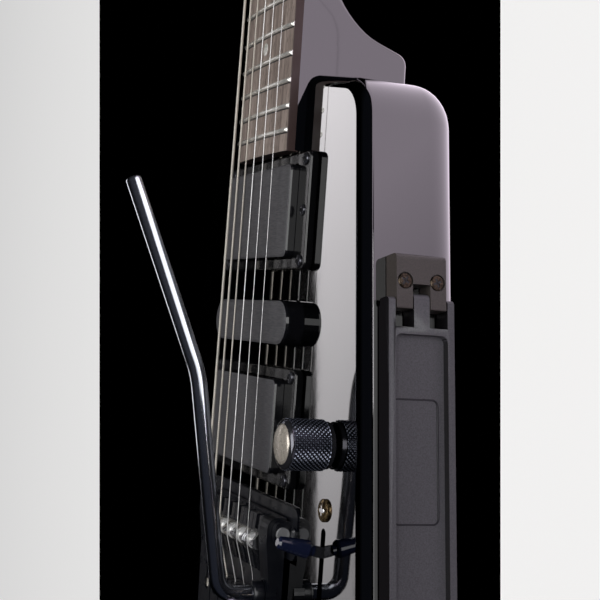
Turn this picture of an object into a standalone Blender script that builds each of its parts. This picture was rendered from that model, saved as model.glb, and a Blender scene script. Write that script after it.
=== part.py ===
"""Headless electric guitar with a neck-through body, a tuning tremolo and a fold-out leg rest.

The guitar lies on its back. X runs along the strings to the headpiece, Y to the bass side
and Z out of the body's face. The origin is on the back face, under the bridge line.
Sizes below are in millimetres and become metres when a mesh or a place is made.
"""

import math

import bmesh
import bpy
from mathutils import Matrix, Vector

MM = 0.001
GAP = 0.3
RUN = 0.4
# How far a cutting shape runs past the face that it opens
PAST = 9.0
FAR = 60.0

# Scale and strings
SCALE_LENGTH = 647.7
FRET_COUNT = 24
STRING_DIAMETERS = (0.25, 0.33, 0.43, 0.66, 0.91, 1.17)
STRING_COUNT = 6
SPREAD_AT_BRIDGE = 52.0
SPREAD_AT_NUT = 35.0
STRING_RISE_AT_BRIDGE = 12.2
STRING_RISE_AT_NUT = 10.6
FINGERBOARD_RADIUS = 356.0
BALL_RADIUS = 1.95
BALL_LENGTH = 3.2
STRING_SIDES = 8

# Body
BODY_THICKNESS = 41.0
NECK_END_X = 184.8
TAIL_X = -100.0
END_HALF_WIDTH = 31.0
END_CORNER_RADIUS = 20.0
SHOULDER_X = 176.0
SHOULDER_HALF_WIDTH = 78.9
SHOULDER_RADIUS = 19.0
SIDE_SLOPE = 0.157
SIDE_STRAIGHT_END_X = -25.0
SIDE_CORNER_RADIUS = 60.0
TAIL_FLARE = 0.4
TAIL_CORNER_RADIUS = 26.0
FACE_EDGE_RADIUS = 5.0
FACE_EDGE_STEPS = 3
BACK_EDGE_RADIUS = 14.0
BACK_EDGE_STEPS = 5
STRIP_HALF_WIDTH = 33.2
NOTCH_X = -47.0
NOTCH_HALF_WIDTH = 37.0

# Neck and fingerboard
NECK_TOP_RISE = 2.0
BOARD_END_X = 153.7
BOARD_HALF_AT_NUT = 21.0
BOARD_TAPER = 0.01442
BOARD_EDGE_THICKNESS = 5.3
FRET_HEIGHT = 1.0
FRET_FOOT = 1.25
FRET_CROWN = 0.6
HEEL_END_X = 196.3
HEEL_END_RADIUS = 5.0
HEEL_RAMP_X = 208.1
HEEL_RAMP_RADIUS = 28.0
HEEL_FLANK_SLOPE = 0.12
HEEL_CORNER_RADIUS = 1.8
NECK_ROUND_X0 = 205.0
NECK_ROUND_X1 = 246.0
NECK_CORNER_RADIUS = 12.0
NECK_DEPTH_AT_HEEL = 13.8
NECK_DEPTH_AT_NUT = 12.7
NECK_INSET = 1.0
BOARD_OVERHANG = 0.1
BACK_CLEARANCE = 0.02
TENON_LENGTH = 23.0
NUT_LENGTH = 4.5
NUT_TOP_RISE = 11.4
HEADPIECE_HALF_WIDTH = 22.5
HEADPIECE_TOP_RISE = 13.0
HEADPIECE_DROP = 11.0
HEADPIECE_END_PLATE = 5.0
ROD_RADIUS = 2.8
ROD_START_X = 200.0
ROD_END_X = 638.0
ROD_CENTRE_DROP = 3.6

# Pickups
RING_LENGTH = 91.4
RING_WIDTH = 45.9
RING_HEIGHT = 3.7
RING_CORNER = 3.0
RING_SCREW_X = 19.75
RING_SCREW_Y = 40.8
RING_SCREW_RADIUS = 2.4
HUMBUCKER_LENGTH = 69.8
HUMBUCKER_WIDTH = 36.6
HUMBUCKER_DEPTH = 25.0
NECK_PICKUP_X = 129.8
NECK_PICKUP_RISE = 7.5
BRIDGE_PICKUP_X = 45.6
BRIDGE_PICKUP_RISE = 7.9
MIDDLE_PICKUP_X = 86.0
MIDDLE_PICKUP_RISE = 7.8
SINGLE_LENGTH = 83.0
SINGLE_WIDTH = 17.8
SINGLE_DEPTH = 22.0
COVER_CORNER = 2.6
COVER_EDGE = 1.0

# Controls
CONTROL_Y = -72.8
VOLUME_X = 43.2
TONE_X = -46.0
KNOB_RADIUS = 9.3
KNOB_HEIGHT = 16.6
KNOB_SHAFT_RADIUS = 3.0
KNOB_SIDES = 28
POT_RADIUS = 8.3
POT_HEIGHT = 10.0
BUSHING_RADIUS = 4.4
SWITCH_X = -0.7
SWITCH_SCREW_PITCH = 41.0
SWITCH_SCREW_RADIUS = 1.5
FACE_HOLE_DEPTH = 12.0
SHAFT_DEPTH = 13.0
SLOT_LENGTH = 28.0
SLOT_WIDTH = 3.0
LEVER_PIVOT_DEPTH = 24.0
LEVER_REST_ANGLE = 12.5
LEVER_WIDTH = 4.0
LEVER_THICKNESS = 1.4
LEVER_PIN_RADIUS = 1.4
TIP_LENGTH = 13.5
TIP_BASE_RADIUS = 3.4
TIP_END_RADIUS = 2.3
CAVITY_CEILING = 5.5
CAVITY_X0 = -72.0
CAVITY_X1 = 58.0
CAVITY_INNER_Y = -57.5
CAVITY_CORNER = 6.0
COVER_LEDGE = 3.4
COVER_MARGIN = 0.6
COVER_THICKNESS = 1.9
JACK_Y = -66.0
JACK_DEPTH = 16.5
JACK_RADIUS = 5.8
JACK_BORE_RADIUS = 3.4
JACK_LENGTH = 24.0
JACK_FLANGE_RADIUS = 9.5

# Tremolo
PIVOT_X = 6.0
PIVOT_RISE = 4.0
PIN_RADIUS = 1.8
CHEEK_INNER = 32.5
CHEEK_OUTER = 41.0
CARRIAGE_FRONT_X = 11.5
CARRIAGE_REAR_X = -47.0
CARRIAGE_FLOOR_RISE = 1.3
CARRIAGE_FLOOR_THICKNESS = 2.2
CHEEK_FRONT_RISE = 9.0
CHEEK_REAR_RISE = 6.6
REAR_WALL_THICKNESS = 2.6
REAR_WALL_RISE = 11.0
POCKET_DEPTH = 6.0
PLATE_LENGTH = 20.0
PLATE_WIDTH = 98.0
PLATE_CORNER = 4.0
PLATE_SINK = 1.2
PLATE_STAND = 0.2
PLATE_ROOM = 1.5
EAR_LENGTH = 9.0
EAR_RISE = 7.2
EAR_CORNER = 3.5
EAR_ROOT = 0.6
EAR_THICKNESS = 3.0
BASE_SCREW_Y = 46.9
SADDLE_WIDTH = 9.9
SADDLE_FRONT_X = 10.5
SADDLE_REAR_X = -11.0
JAW_FRONT_X = -20.5
JAW_REAR_X = -36.0
JAW_WIDTH = 9.0
JAW_RISE = 8.6
JAW_BALL_X = -27.5
JAW_TRAVEL = 2.0
SCREW_RADIUS = 1.5
TUNER_AXIS_RISE = 6.3
TUNER_KNOB_RADIUS = 4.7
TUNER_KNOB_LENGTH = 11.5
SPRING_RADIUS = 5.4
SPRING_WIRE = 1.8
SPRING_TURNS = 6.5
SPRING_AXIS_DEPTH = 19.0
SPRING_CAVITY_X0 = -40.0
SPRING_CAVITY_X1 = 1.0
SPRING_CAVITY_HALF = 12.0
SPRING_CAVITY_DEPTH = 31.0
DROP_LEG_X = -9.0
DROP_LEG_THICKNESS = 4.0
DROP_LEG_HALF_WIDTH = 9.0
ADJUSTER_RADIUS = 3.0
THUMB_WHEEL_RADIUS = 8.0
THUMB_WHEEL_LENGTH = 6.0
ARM_X = -18.0
ARM_Y = -36.5
ARM_RADIUS = 2.8
ARM_ANGLE = 3.5
ARM_REACH = 153.0
ARM_TIP_RISE = 68.7
ARM_ELBOW_REACH = 70.0
ARM_ELBOW_RISE = 34.2
ARM_BEND_RISE = 23.0
ARM_BEND_RADIUS = 9.0
ARM_ELBOW_RADIUS = 45.0
COLLAR_RADIUS = 4.6
COLLAR_HEIGHT = 4.0

# Leg rest
LEG_DEPTH = 19.0
LEG_PIN_X = 95.4
LEG_PIN_STAND = 4.4
LEG_PIN_RADIUS = 1.3
LEG_THICKNESS = 7.7
LEG_WIDTH = 25.6
LEG_LENGTH = 112.0
LEG_RAIL = 2.6
LEG_RECESS = 3.2
LEG_BAR_X = -8.2
LEG_BAR_WIDTH = 2.3
LEG_TONGUE_WIDTH = 4.6
LEG_EYE_RADIUS = 3.6
BRACKET_WIDTH = 19.0
BRACKET_STAND = 11.0
BRACKET_TOP_X = 17.0
BRACKET_ROOT_X = 6.6
BRACKET_SCREW_PITCH = 12.6
BRACKET_SCREW_X = 7.9

# Strap buttons
BUTTON_RADIUS = 7.0
BUTTON_NECK_RADIUS = 3.6
BUTTON_LENGTH = 11.0
BUTTON_Y = 62.0
BUTTON_DEPTH = 18.0

FACE = BODY_THICKNESS
NECK_TOP = FACE + NECK_TOP_RISE
NUT_X = SCALE_LENGTH
SIDE_ANGLE = math.atan(SIDE_SLOPE)
BALL_POCKET_RADIUS = math.hypot(BALL_RADIUS, BALL_LENGTH / 2) + GAP
SPRING_AXIS_Z = FACE - SPRING_AXIS_DEPTH
SPRING_CAVITY_FLOOR = FACE - SPRING_CAVITY_DEPTH
BUTTON_Z = FACE - BUTTON_DEPTH


def clear_scene():
    """Start from an empty scene."""
    for obj in list(bpy.data.objects):
        bpy.data.objects.remove(obj, do_unlink=True)


def make_material(name, color, roughness, metallic=0.0):
    """A plain Principled material, with its colour given in linear values."""
    mat = bpy.data.materials.new(name)
    mat.use_nodes = True
    shader = mat.node_tree.nodes["Principled BSDF"]
    shader.inputs["Base Color"].default_value = (*color, 1.0)
    shader.inputs["Roughness"].default_value = roughness
    shader.inputs["Metallic"].default_value = metallic
    mat.diffuse_color = (*color, 1.0)
    return mat


def skin(rings, ring_shaped=False):
    """Join rings of points into one closed solid, capped at both ends or closed on itself."""
    bm = bmesh.new()
    loops = [[bm.verts.new(point) for point in ring] for ring in rings]
    pairs = list(zip(loops, loops[1:]))
    if ring_shaped:
        pairs.append((loops[-1], loops[0]))
    count = len(loops[0])
    for first, second in pairs:
        for i in range(count):
            j = (i + 1) % count
            bm.faces.new((first[i], first[j], second[j], second[i]))
    if not ring_shaped:
        bm.faces.new(loops[0])
        bm.faces.new(loops[-1])
    bmesh.ops.recalc_face_normals(bm, faces=bm.faces)
    return bm


def on_axis(axis, across, along):
    """Place a flat point (a, b) at a distance along the named axis."""
    a, b = across
    return {"X": (along, a, b), "Y": (a, along, b), "Z": (a, b, along)}[axis]


def prism(outline, low, high, axis="Z"):
    """Extrude an outline from low to high along an axis."""
    return skin([[on_axis(axis, point, level) for point in outline] for level in (low, high)])


def block(low, high):
    """A box between two corners."""
    (x0, y0, z0), (x1, y1, z1) = low, high
    return prism([(x0, y0), (x1, y0), (x1, y1), (x0, y1)], z0, z1)


def circle(radius, sides, centre=(0.0, 0.0)):
    """Points round a circle."""
    steps = [2 * math.pi * i / sides for i in range(sides)]
    return [(centre[0] + radius * math.cos(a), centre[1] + radius * math.sin(a)) for a in steps]


def turned(profile, sides=24, axis="Z", ring_shaped=False):
    """Revolve (radius, height) points round an axis; a ring-shaped profile leaves a bore."""
    rings = [[on_axis(axis, point, along) for point in circle(radius, sides)] for radius, along in profile]
    return skin(rings, ring_shaped)


def rod(radius, low, high, axis="Z", sides=24):
    """A plain cylinder along an axis."""
    return turned([(radius, low), (radius, high)], sides, axis)


def round_corners(corners, steps=6):
    """Replace each (x, y, radius) corner of an outline by an arc."""
    points = []
    count = len(corners)
    for i, (x, y, radius) in enumerate(corners):
        here = Vector((x, y))
        if radius <= 0:
            points.append((x, y))
            continue
        back = (Vector(corners[i - 1][:2]) - here).normalized()
        ahead = (Vector(corners[(i + 1) % count][:2]) - here).normalized()
        half = back.angle(ahead) / 2
        centre = here + (back + ahead).normalized() * (radius / math.sin(half))
        start = here + back * (radius / math.tan(half)) - centre
        end = here + ahead * (radius / math.tan(half)) - centre
        sweep = start.angle_signed(end)
        for k in range(steps + 1):
            spoke = start.copy()
            spoke.rotate(Matrix.Rotation(-sweep * k / steps, 2))
            points.append(tuple(centre + spoke))
    return points


def rounded_rectangle(length, width, radius, centre=(0.0, 0.0), steps=4):
    """A rectangle with round corners, length along the first direction."""
    a, b = length / 2, width / 2
    corners = [(-a, -b), (a, -b), (a, b), (-a, b)]
    moved = [(centre[0] + x, centre[1] + y, radius) for x, y in corners]
    return round_corners(moved, steps)


def tube(path, radii, sides=STRING_SIDES):
    """A closed tube along a path; each point has its own radius."""
    points = [Vector(p) for p in path]
    rings = []
    for i, point in enumerate(points):
        before = points[max(i - 1, 0)]
        after = points[min(i + 1, len(points) - 1)]
        along = (after - before).normalized()
        side = along.orthogonal().normalized() if i == 0 else (side - along * side.dot(along)).normalized()
        up = along.cross(side)
        ring = [point + (side * a + up * b) for a, b in circle(radii[i], sides)]
        rings.append(ring)
    return skin(rings)


def add(name, bm, mat, at=(0.0, 0.0, 0.0), turn=(0.0, 0.0, 0.0), parent=None, smooth=None):
    """Make a named object from a shape in millimetres, placed in millimetres."""
    bmesh.ops.scale(bm, vec=(MM, MM, MM), verts=bm.verts)
    mesh = bpy.data.meshes.new(name)
    bm.to_mesh(mesh)
    bm.free()
    mesh.materials.append(mat)
    obj = bpy.data.objects.new(name, mesh)
    bpy.context.scene.collection.objects.link(obj)
    obj.location = Vector(at) * MM
    obj.rotation_euler = turn
    obj.parent = parent
    if smooth is not None:
        mesh.shade_smooth()
        mesh.set_sharp_from_angle(angle=math.radians(smooth))
    return obj


def guide(name, bm, at=(0.0, 0.0, 0.0), turn=(0.0, 0.0, 0.0), parent=None):
    """A helper shape for a Boolean; it is drawn as wire and left out of the model."""
    obj = add(name, bm, GUIDE_MATERIAL, at, turn, parent)
    obj.hide_render = True
    obj.display_type = "WIRE"
    return obj


def combine(obj, other, operation):
    """Add one Boolean modifier."""
    modifier = obj.modifiers.new(operation.title(), "BOOLEAN")
    modifier.operation = operation
    modifier.solver = "EXACT"
    modifier.object = other


def cut(obj, *others):
    for other in others:
        combine(obj, other, "DIFFERENCE")


def fuse(obj, *others):
    for other in others:
        combine(obj, other, "UNION")


def soften(obj, width, segments=2, angle=50.0):
    """Round an object's sharp edges."""
    modifier = obj.modifiers.new("Bevel", "BEVEL")
    modifier.width = width * MM
    modifier.segments = segments
    modifier.limit_method = "ANGLE"
    modifier.angle_limit = math.radians(angle)


def joint_frame(name, at, turn=(0.0, 0.0, 0.0), parent=None):
    """An empty on a joint's axis, in millimetres."""
    frame = bpy.data.objects.new(name, None)
    bpy.context.scene.collection.objects.link(frame)
    frame.location = Vector(at) * MM
    frame.rotation_euler = turn
    frame.parent = parent
    return frame


def board_half_width(x):
    """Half the fingerboard's width at a distance from the bridge."""
    return BOARD_HALF_AT_NUT + BOARD_TAPER * (NUT_X - x)


def fret_x(number):
    return SCALE_LENGTH * 2 ** (-number / 12)


def side_half_width(x):
    """Half the body's width along its straight, flared sides."""
    return SHOULDER_HALF_WIDTH + SIDE_SLOPE * (SHOULDER_X - x)


def string_y(index, x):
    """String 0 is the treble one, on the -Y side."""
    spread = SPREAD_AT_BRIDGE + (SPREAD_AT_NUT - SPREAD_AT_BRIDGE) * x / SCALE_LENGTH
    return spread * (index / (STRING_COUNT - 1) - 0.5)


def string_z(index, x):
    """The strings lie on an arch like the fingerboard's."""
    rise = STRING_RISE_AT_BRIDGE + (STRING_RISE_AT_NUT - STRING_RISE_AT_BRIDGE) * x / SCALE_LENGTH
    return FACE + rise - string_y(index, x) ** 2 / (2 * FINGERBOARD_RADIUS)


def body_outline():
    """The body seen from the front: flared sides, round shoulders and a square tail."""
    half = [
        (NECK_END_X, END_HALF_WIDTH, END_CORNER_RADIUS),
        (SHOULDER_X, SHOULDER_HALF_WIDTH, SHOULDER_RADIUS),
        (SIDE_STRAIGHT_END_X, side_half_width(SIDE_STRAIGHT_END_X), SIDE_CORNER_RADIUS),
        (TAIL_X, side_half_width(SIDE_STRAIGHT_END_X) + TAIL_FLARE, TAIL_CORNER_RADIUS),
    ]
    mirrored = [(x, -y, r) for x, y, r in reversed(half)]
    return round_corners(half + mirrored, 7)


def pickup_cutters():
    """Rooms for the three pickups, with lugs for the height screws."""
    room = RUN + 0.4
    cutters = []
    for name, x in (("neck", NECK_PICKUP_X), ("bridge", BRIDGE_PICKUP_X)):
        floor = FACE + NECK_PICKUP_RISE - HUMBUCKER_DEPTH - 1.0
        outline = rounded_rectangle(HUMBUCKER_WIDTH + 2 * room, HUMBUCKER_LENGTH + 2 * room, COVER_CORNER, (x, 0))
        cutters.append(guide(name + "_pickup_room", prism(outline, floor, FACE + PAST)))
    width = SINGLE_WIDTH + 2 * RUN
    outline = rounded_rectangle(width, SINGLE_LENGTH + 2 * RUN, SINGLE_WIDTH / 2, (MIDDLE_PICKUP_X, 0), 8)
    floor = FACE + MIDDLE_PICKUP_RISE - SINGLE_DEPTH - 1.0
    cutters.append(guide("middle_pickup_room", prism(outline, floor, FACE + PAST)))
    return cutters


def tremolo_cutters():
    """The shallow pocket under the tremolo, the spring's room and the open notch in the tail."""
    pocket = block((NOTCH_X - 1, -CHEEK_OUTER - 1.5, FACE - POCKET_DEPTH), (3.0, CHEEK_OUTER + 1.5, FACE + PAST))
    plate_half = (PLATE_LENGTH / 2 + 1.0, PLATE_WIDTH / 2 + PLATE_ROOM)
    plate = block(
        (PIVOT_X - plate_half[0], -plate_half[1], FACE - PLATE_SINK - GAP),
        (PIVOT_X + plate_half[0], plate_half[1], FACE + PAST),
    )
    room = block(
        (SPRING_CAVITY_X0, -SPRING_CAVITY_HALF, SPRING_CAVITY_FLOOR),
        (SPRING_CAVITY_X1, SPRING_CAVITY_HALF, FACE + PAST),
    )
    outline = rounded_rectangle(NOTCH_X - TAIL_X + 40, 2 * NOTCH_HALF_WIDTH, 6.0, ((NOTCH_X + TAIL_X - 40) / 2, 0))
    notch = prism(outline, -PAST, FACE + PAST)
    bore = rod(ADJUSTER_RADIUS + GAP, SPRING_CAVITY_X0 + 2, NOTCH_X - 2, "X")
    bmesh.ops.translate(bore, vec=(0, 0, SPRING_AXIS_Z), verts=bore.verts)
    shapes = (("tremolo_pocket", pocket), ("tremolo_plate_recess", plate), ("spring_room", room))
    cutters = [guide(name, shape) for name, shape in shapes]
    return cutters, guide("tail_notch", notch), guide("spring_screw_bore", bore)


def cavity_outline(grow):
    """The control room from the back; its outer edge runs beside the body's rounded back edge."""
    inset = BACK_EDGE_RADIUS + COVER_MARGIN + COVER_LEDGE - grow
    front_x = CAVITY_X1 + grow
    rear_x = CAVITY_X0 - grow
    inner = CAVITY_INNER_Y + grow
    bend = inset - side_half_width(SIDE_STRAIGHT_END_X)
    radius = CAVITY_CORNER + grow
    corners = [
        (rear_x, inner, radius),
        (front_x, inner, radius),
        (front_x, inset - side_half_width(front_x), radius),
        (SIDE_STRAIGHT_END_X, bend, 0),
        (rear_x, bend, radius),
    ]
    return round_corners(corners, 4)


def control_cutters():
    """The control room, its cover's recess, and the holes through the face and the tail."""
    room = prism(cavity_outline(0.0), -PAST, FACE - CAVITY_CEILING)
    recess = prism(cavity_outline(COVER_LEDGE + GAP), -PAST, COVER_THICKNESS + 2 * GAP)
    shapes = [("control_room", room), ("cover_recess", recess)]
    for name, x in (("volume_hole", VOLUME_X), ("tone_hole", TONE_X)):
        hole = rod(BUSHING_RADIUS + RUN, FACE - FACE_HOLE_DEPTH, FACE + PAST)
        bmesh.ops.translate(hole, vec=(x, CONTROL_Y, 0), verts=hole.verts)
        shapes.append((name, hole))
    slot = block(
        (SWITCH_X - SLOT_LENGTH / 2, CONTROL_Y - SLOT_WIDTH / 2, FACE - FACE_HOLE_DEPTH),
        (SWITCH_X + SLOT_LENGTH / 2, CONTROL_Y + SLOT_WIDTH / 2, FACE + PAST),
    )
    shapes.append(("switch_slot", slot))
    for side in (-1, 1):
        hole = rod(SWITCH_SCREW_RADIUS + GAP, FACE - FACE_HOLE_DEPTH, FACE + PAST, sides=16)
        place = (SWITCH_X + side * SWITCH_SCREW_PITCH / 2, CONTROL_Y, 0)
        bmesh.ops.translate(hole, vec=place, verts=hole.verts)
        shapes.append(("switch_screw_hole_%d" % side, hole))
    jack = rod(JACK_RADIUS + RUN, TAIL_X - PAST, CAVITY_X0 + 2, "X")
    bmesh.ops.translate(jack, vec=(0, JACK_Y, FACE - JACK_DEPTH), verts=jack.verts)
    shapes.append(("jack_hole", jack))
    return [guide(name, shape) for name, shape in shapes]


def body_block(outline):
    """The body's full depth: a small round on the face's edge and a large one on the back's."""
    bm = prism(outline, 0, FACE)
    edges = (
        (FACE, FACE_EDGE_RADIUS, FACE_EDGE_STEPS),
        (0.0, BACK_EDGE_RADIUS, BACK_EDGE_STEPS),
    )
    for level, radius, steps in edges:
        rim = [edge for edge in bm.edges if all(abs(vert.co.z - level) < 1e-6 for vert in edge.verts)]
        bmesh.ops.bevel(bm, geom=rim, offset=radius, segments=steps, profile=0.5, affect="EDGES")
    return bm


def neck_section(x, top_half, back_half, back_z, radius, steps=7):
    """Neck section: flat top, straight flank and a rounded back corner."""
    corners = [
        (-top_half, NECK_TOP, 0),
        (-back_half, back_z, radius),
        (back_half, back_z, radius),
        (top_half, NECK_TOP, 0),
    ]
    return [(x, y, z) for y, z in round_corners(corners, steps)]


def back_profile():
    """The back of the heel and neck from the side: flat, a short corner, then a hollow ramp."""
    end = NUT_X + NUT_LENGTH
    corners = [
        (BOARD_END_X, BACK_CLEARANCE, 0),
        (HEEL_END_X, BACK_CLEARANCE, HEEL_END_RADIUS),
        (HEEL_RAMP_X, NECK_TOP - NECK_DEPTH_AT_HEEL, HEEL_RAMP_RADIUS),
        (NECK_ROUND_X1, NECK_TOP - NECK_DEPTH_AT_HEEL, 0),
        (end, NECK_TOP - NECK_DEPTH_AT_NUT, 0),
    ]
    return round_corners(corners, 5)


def neck_sections():
    """The neck from its seat in the body, over the square heel, to the tenon at the headpiece."""
    sections = []
    for x, back_z in back_profile():
        share = min(max((x - NECK_ROUND_X0) / (NECK_ROUND_X1 - NECK_ROUND_X0), 0.0), 1.0)
        share = share * share * (3 - 2 * share)
        top_half = board_half_width(x) - BOARD_OVERHANG
        flank_half = top_half + HEEL_FLANK_SLOPE * (NECK_TOP - back_z)
        back_half = flank_half + (top_half - NECK_INSET - flank_half) * share
        radius = HEEL_CORNER_RADIUS + (NECK_CORNER_RADIUS - HEEL_CORNER_RADIUS) * share
        sections.append(neck_section(x, top_half, back_half, back_z, radius))
    return sections


def build_body(finish):
    """One neck-through core and two wings, cut from the same outline."""
    outline = body_outline()
    tremolo, notch, spring_bore = tremolo_cutters()
    pickups = pickup_cutters()
    controls = control_cutters()
    strip_shape = block((NOTCH_X, -STRIP_HALF_WIDTH, -PAST), (NECK_END_X + PAST, STRIP_HALF_WIDTH, FACE + PAST))
    strip = guide("core_strip", strip_shape)
    inner = STRIP_HALF_WIDTH + GAP

    core = add("neck_blank", body_block(outline), finish)
    combine(core, strip, "INTERSECT")
    fuse(core, guide("neck_form", skin(neck_sections())))
    tenon = block((NUT_X, -17, NECK_TOP - 11), (NUT_X + NUT_LENGTH + TENON_LENGTH, 17, NECK_TOP))
    fuse(core, guide("neck_tenon", tenon))
    channel = block(
        (ROD_START_X - 2, -ROD_RADIUS - RUN, NECK_TOP - ROD_CENTRE_DROP - ROD_RADIUS - GAP),
        (ROD_END_X + 2, ROD_RADIUS + RUN, FACE + PAST),
    )
    cut(core, *pickups, *tremolo, spring_bore, guide("truss_rod_channel", channel))

    for name, side in (("wing_treble", -1), ("wing_bass", 1)):
        wing = add(name, body_block(outline), finish)
        low, high = sorted((side * inner, side * 140.0))
        region = guide(name + "_region", block((TAIL_X - PAST, low, -PAST), (NECK_END_X + PAST, high, FACE + PAST)))
        combine(wing, region, "INTERSECT")
        cut(wing, *pickups, *tremolo[:2], notch)
        if side < 0:
            cut(wing, *controls)


def build_fingerboard(wood, metal):
    """Arched board with its frets, cut off square at the nut and at the neck pickup."""
    columns = 5
    stations = [(BOARD_END_X, 0.0)]
    for number in range(FRET_COUNT, 0, -1):
        x = fret_x(number)
        stations += [(x - FRET_FOOT, 0.0), (x - FRET_CROWN, FRET_HEIGHT)]
        stations += [(x + FRET_CROWN, FRET_HEIGHT), (x + FRET_FOOT, 0.0)]
    stations.append((NUT_X - GAP, 0.0))
    rings = []
    for x, lift in stations:
        half = board_half_width(x)
        bottom = NECK_TOP + GAP
        edge = NECK_TOP + BOARD_EDGE_THICKNESS
        crown = half**2 / (2 * FINGERBOARD_RADIUS)
        ring = [(x, -half, bottom)]
        for i in range(columns):
            y = half * (2 * i / (columns - 1) - 1)
            ring.append((x, y, edge + lift + crown - y**2 / (2 * FINGERBOARD_RADIUS)))
        ring.append((x, half, bottom))
        rings.append(ring)
    add("fingerboard", skin(rings), wood)
    truss = rod(ROD_RADIUS, ROD_START_X, ROD_END_X, "X", 16)
    add("truss_rod", truss, metal, (0, 0, NECK_TOP - ROD_CENTRE_DROP), smooth=40)


def build_nut_and_headpiece(bone, cast):
    """Slotted nut and the cast headpiece that holds the strings' front balls."""
    nut_half = BOARD_HALF_AT_NUT
    top = FACE + NUT_TOP_RISE
    crown = nut_half**2 / (2 * FINGERBOARD_RADIUS)
    corners = [
        (-nut_half, NECK_TOP + GAP),
        (-nut_half, top - crown),
        (0, top),
        (nut_half, top - crown),
        (nut_half, NECK_TOP + GAP),
    ]
    nut = add("nut", prism(corners, NUT_X, NUT_X + NUT_LENGTH, "X"), bone)
    start = NUT_X + NUT_LENGTH + TENON_LENGTH + GAP
    front = NUT_X + NUT_LENGTH + GAP
    profile = [
        (front, NECK_TOP + GAP),
        (start, NECK_TOP + GAP),
        (start, NECK_TOP - HEADPIECE_DROP),
        (start + HEADPIECE_END_PLATE, NECK_TOP - HEADPIECE_DROP),
        (start + HEADPIECE_END_PLATE, FACE + HEADPIECE_TOP_RISE - 4.0),
        (start + HEADPIECE_END_PLATE - 4.0, FACE + HEADPIECE_TOP_RISE),
        (front + 3.0, FACE + HEADPIECE_TOP_RISE),
        (front, FACE + HEADPIECE_TOP_RISE - 3.0),
    ]
    headpiece = add("headpiece", prism(profile, -HEADPIECE_HALF_WIDTH, HEADPIECE_HALF_WIDTH, "Y"), cast)
    for index in range(STRING_COUNT):
        y = string_y(index, NUT_X)
        radius = STRING_DIAMETERS[index] / 2
        slot_half = radius + GAP
        floor = string_z(index, NUT_X) - radius - GAP
        slot = block((NUT_X - PAST, y - slot_half, floor), (ball_seat_x(), y + slot_half, FACE + FAR))
        slot_guide = guide("string_slot_%d" % (index + 1), slot)
        pocket = rod(BALL_POCKET_RADIUS, string_z(index, NUT_X) - BALL_RADIUS - GAP, FACE + FAR, sides=12)
        bmesh.ops.translate(pocket, vec=(ball_seat_x(), y, 0), verts=pocket.verts)
        cut(nut, slot_guide)
        cut(headpiece, slot_guide, guide("ball_pocket_%d" % (index + 1), pocket))


def ball_seat_x():
    """Middle of the ball pockets in the headpiece."""
    return NUT_X + NUT_LENGTH + 12.0


def jaw_string_z():
    """Height of the strings' rear balls in the jaws."""
    return FACE + TUNER_AXIS_RISE + 0.1


def build_strings(plain, wound):
    """Double-ball strings: headpiece, nut, saddle crest and jaw, each one unbroken tube."""
    for index in range(STRING_COUNT):
        r = STRING_DIAMETERS[index] / 2
        half = BALL_LENGTH / 2
        seat = ball_seat_x()
        z_nut = string_z(index, NUT_X)
        y_nut = string_y(index, NUT_X)
        y_bridge = string_y(index, 0)
        z_crest = string_z(index, 0)
        z_jaw = jaw_string_z()
        path = [
            (seat + half, y_nut, z_nut, BALL_RADIUS),
            (seat - half, y_nut, z_nut, BALL_RADIUS),
            (seat - half - 0.2, y_nut, z_nut, r),
            (NUT_X + NUT_LENGTH, y_nut, z_nut, r),
            (NUT_X, y_nut, z_nut, r),
            (NUT_X - 3.0, string_y(index, NUT_X - 3.0), string_z(index, NUT_X - 3.0), r),
            (4.0, string_y(index, 4.0), string_z(index, 4.0), r),
            (0.0, y_bridge, z_crest, r),
            (-3.0, y_bridge, z_crest - 0.5, r),
            (JAW_FRONT_X - 1.0, y_bridge, z_jaw + 0.6, r),
            (JAW_BALL_X + half + 0.2, y_bridge, z_jaw, r),
            (JAW_BALL_X + half, y_bridge, z_jaw, BALL_RADIUS),
            (JAW_BALL_X - half, y_bridge, z_jaw, BALL_RADIUS),
        ]
        points = [p[:3] for p in path]
        radii = [p[3] for p in path]
        add("string_%d" % (index + 1), tube(points, radii), wound if index > 2 else plain, smooth=60)


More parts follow.
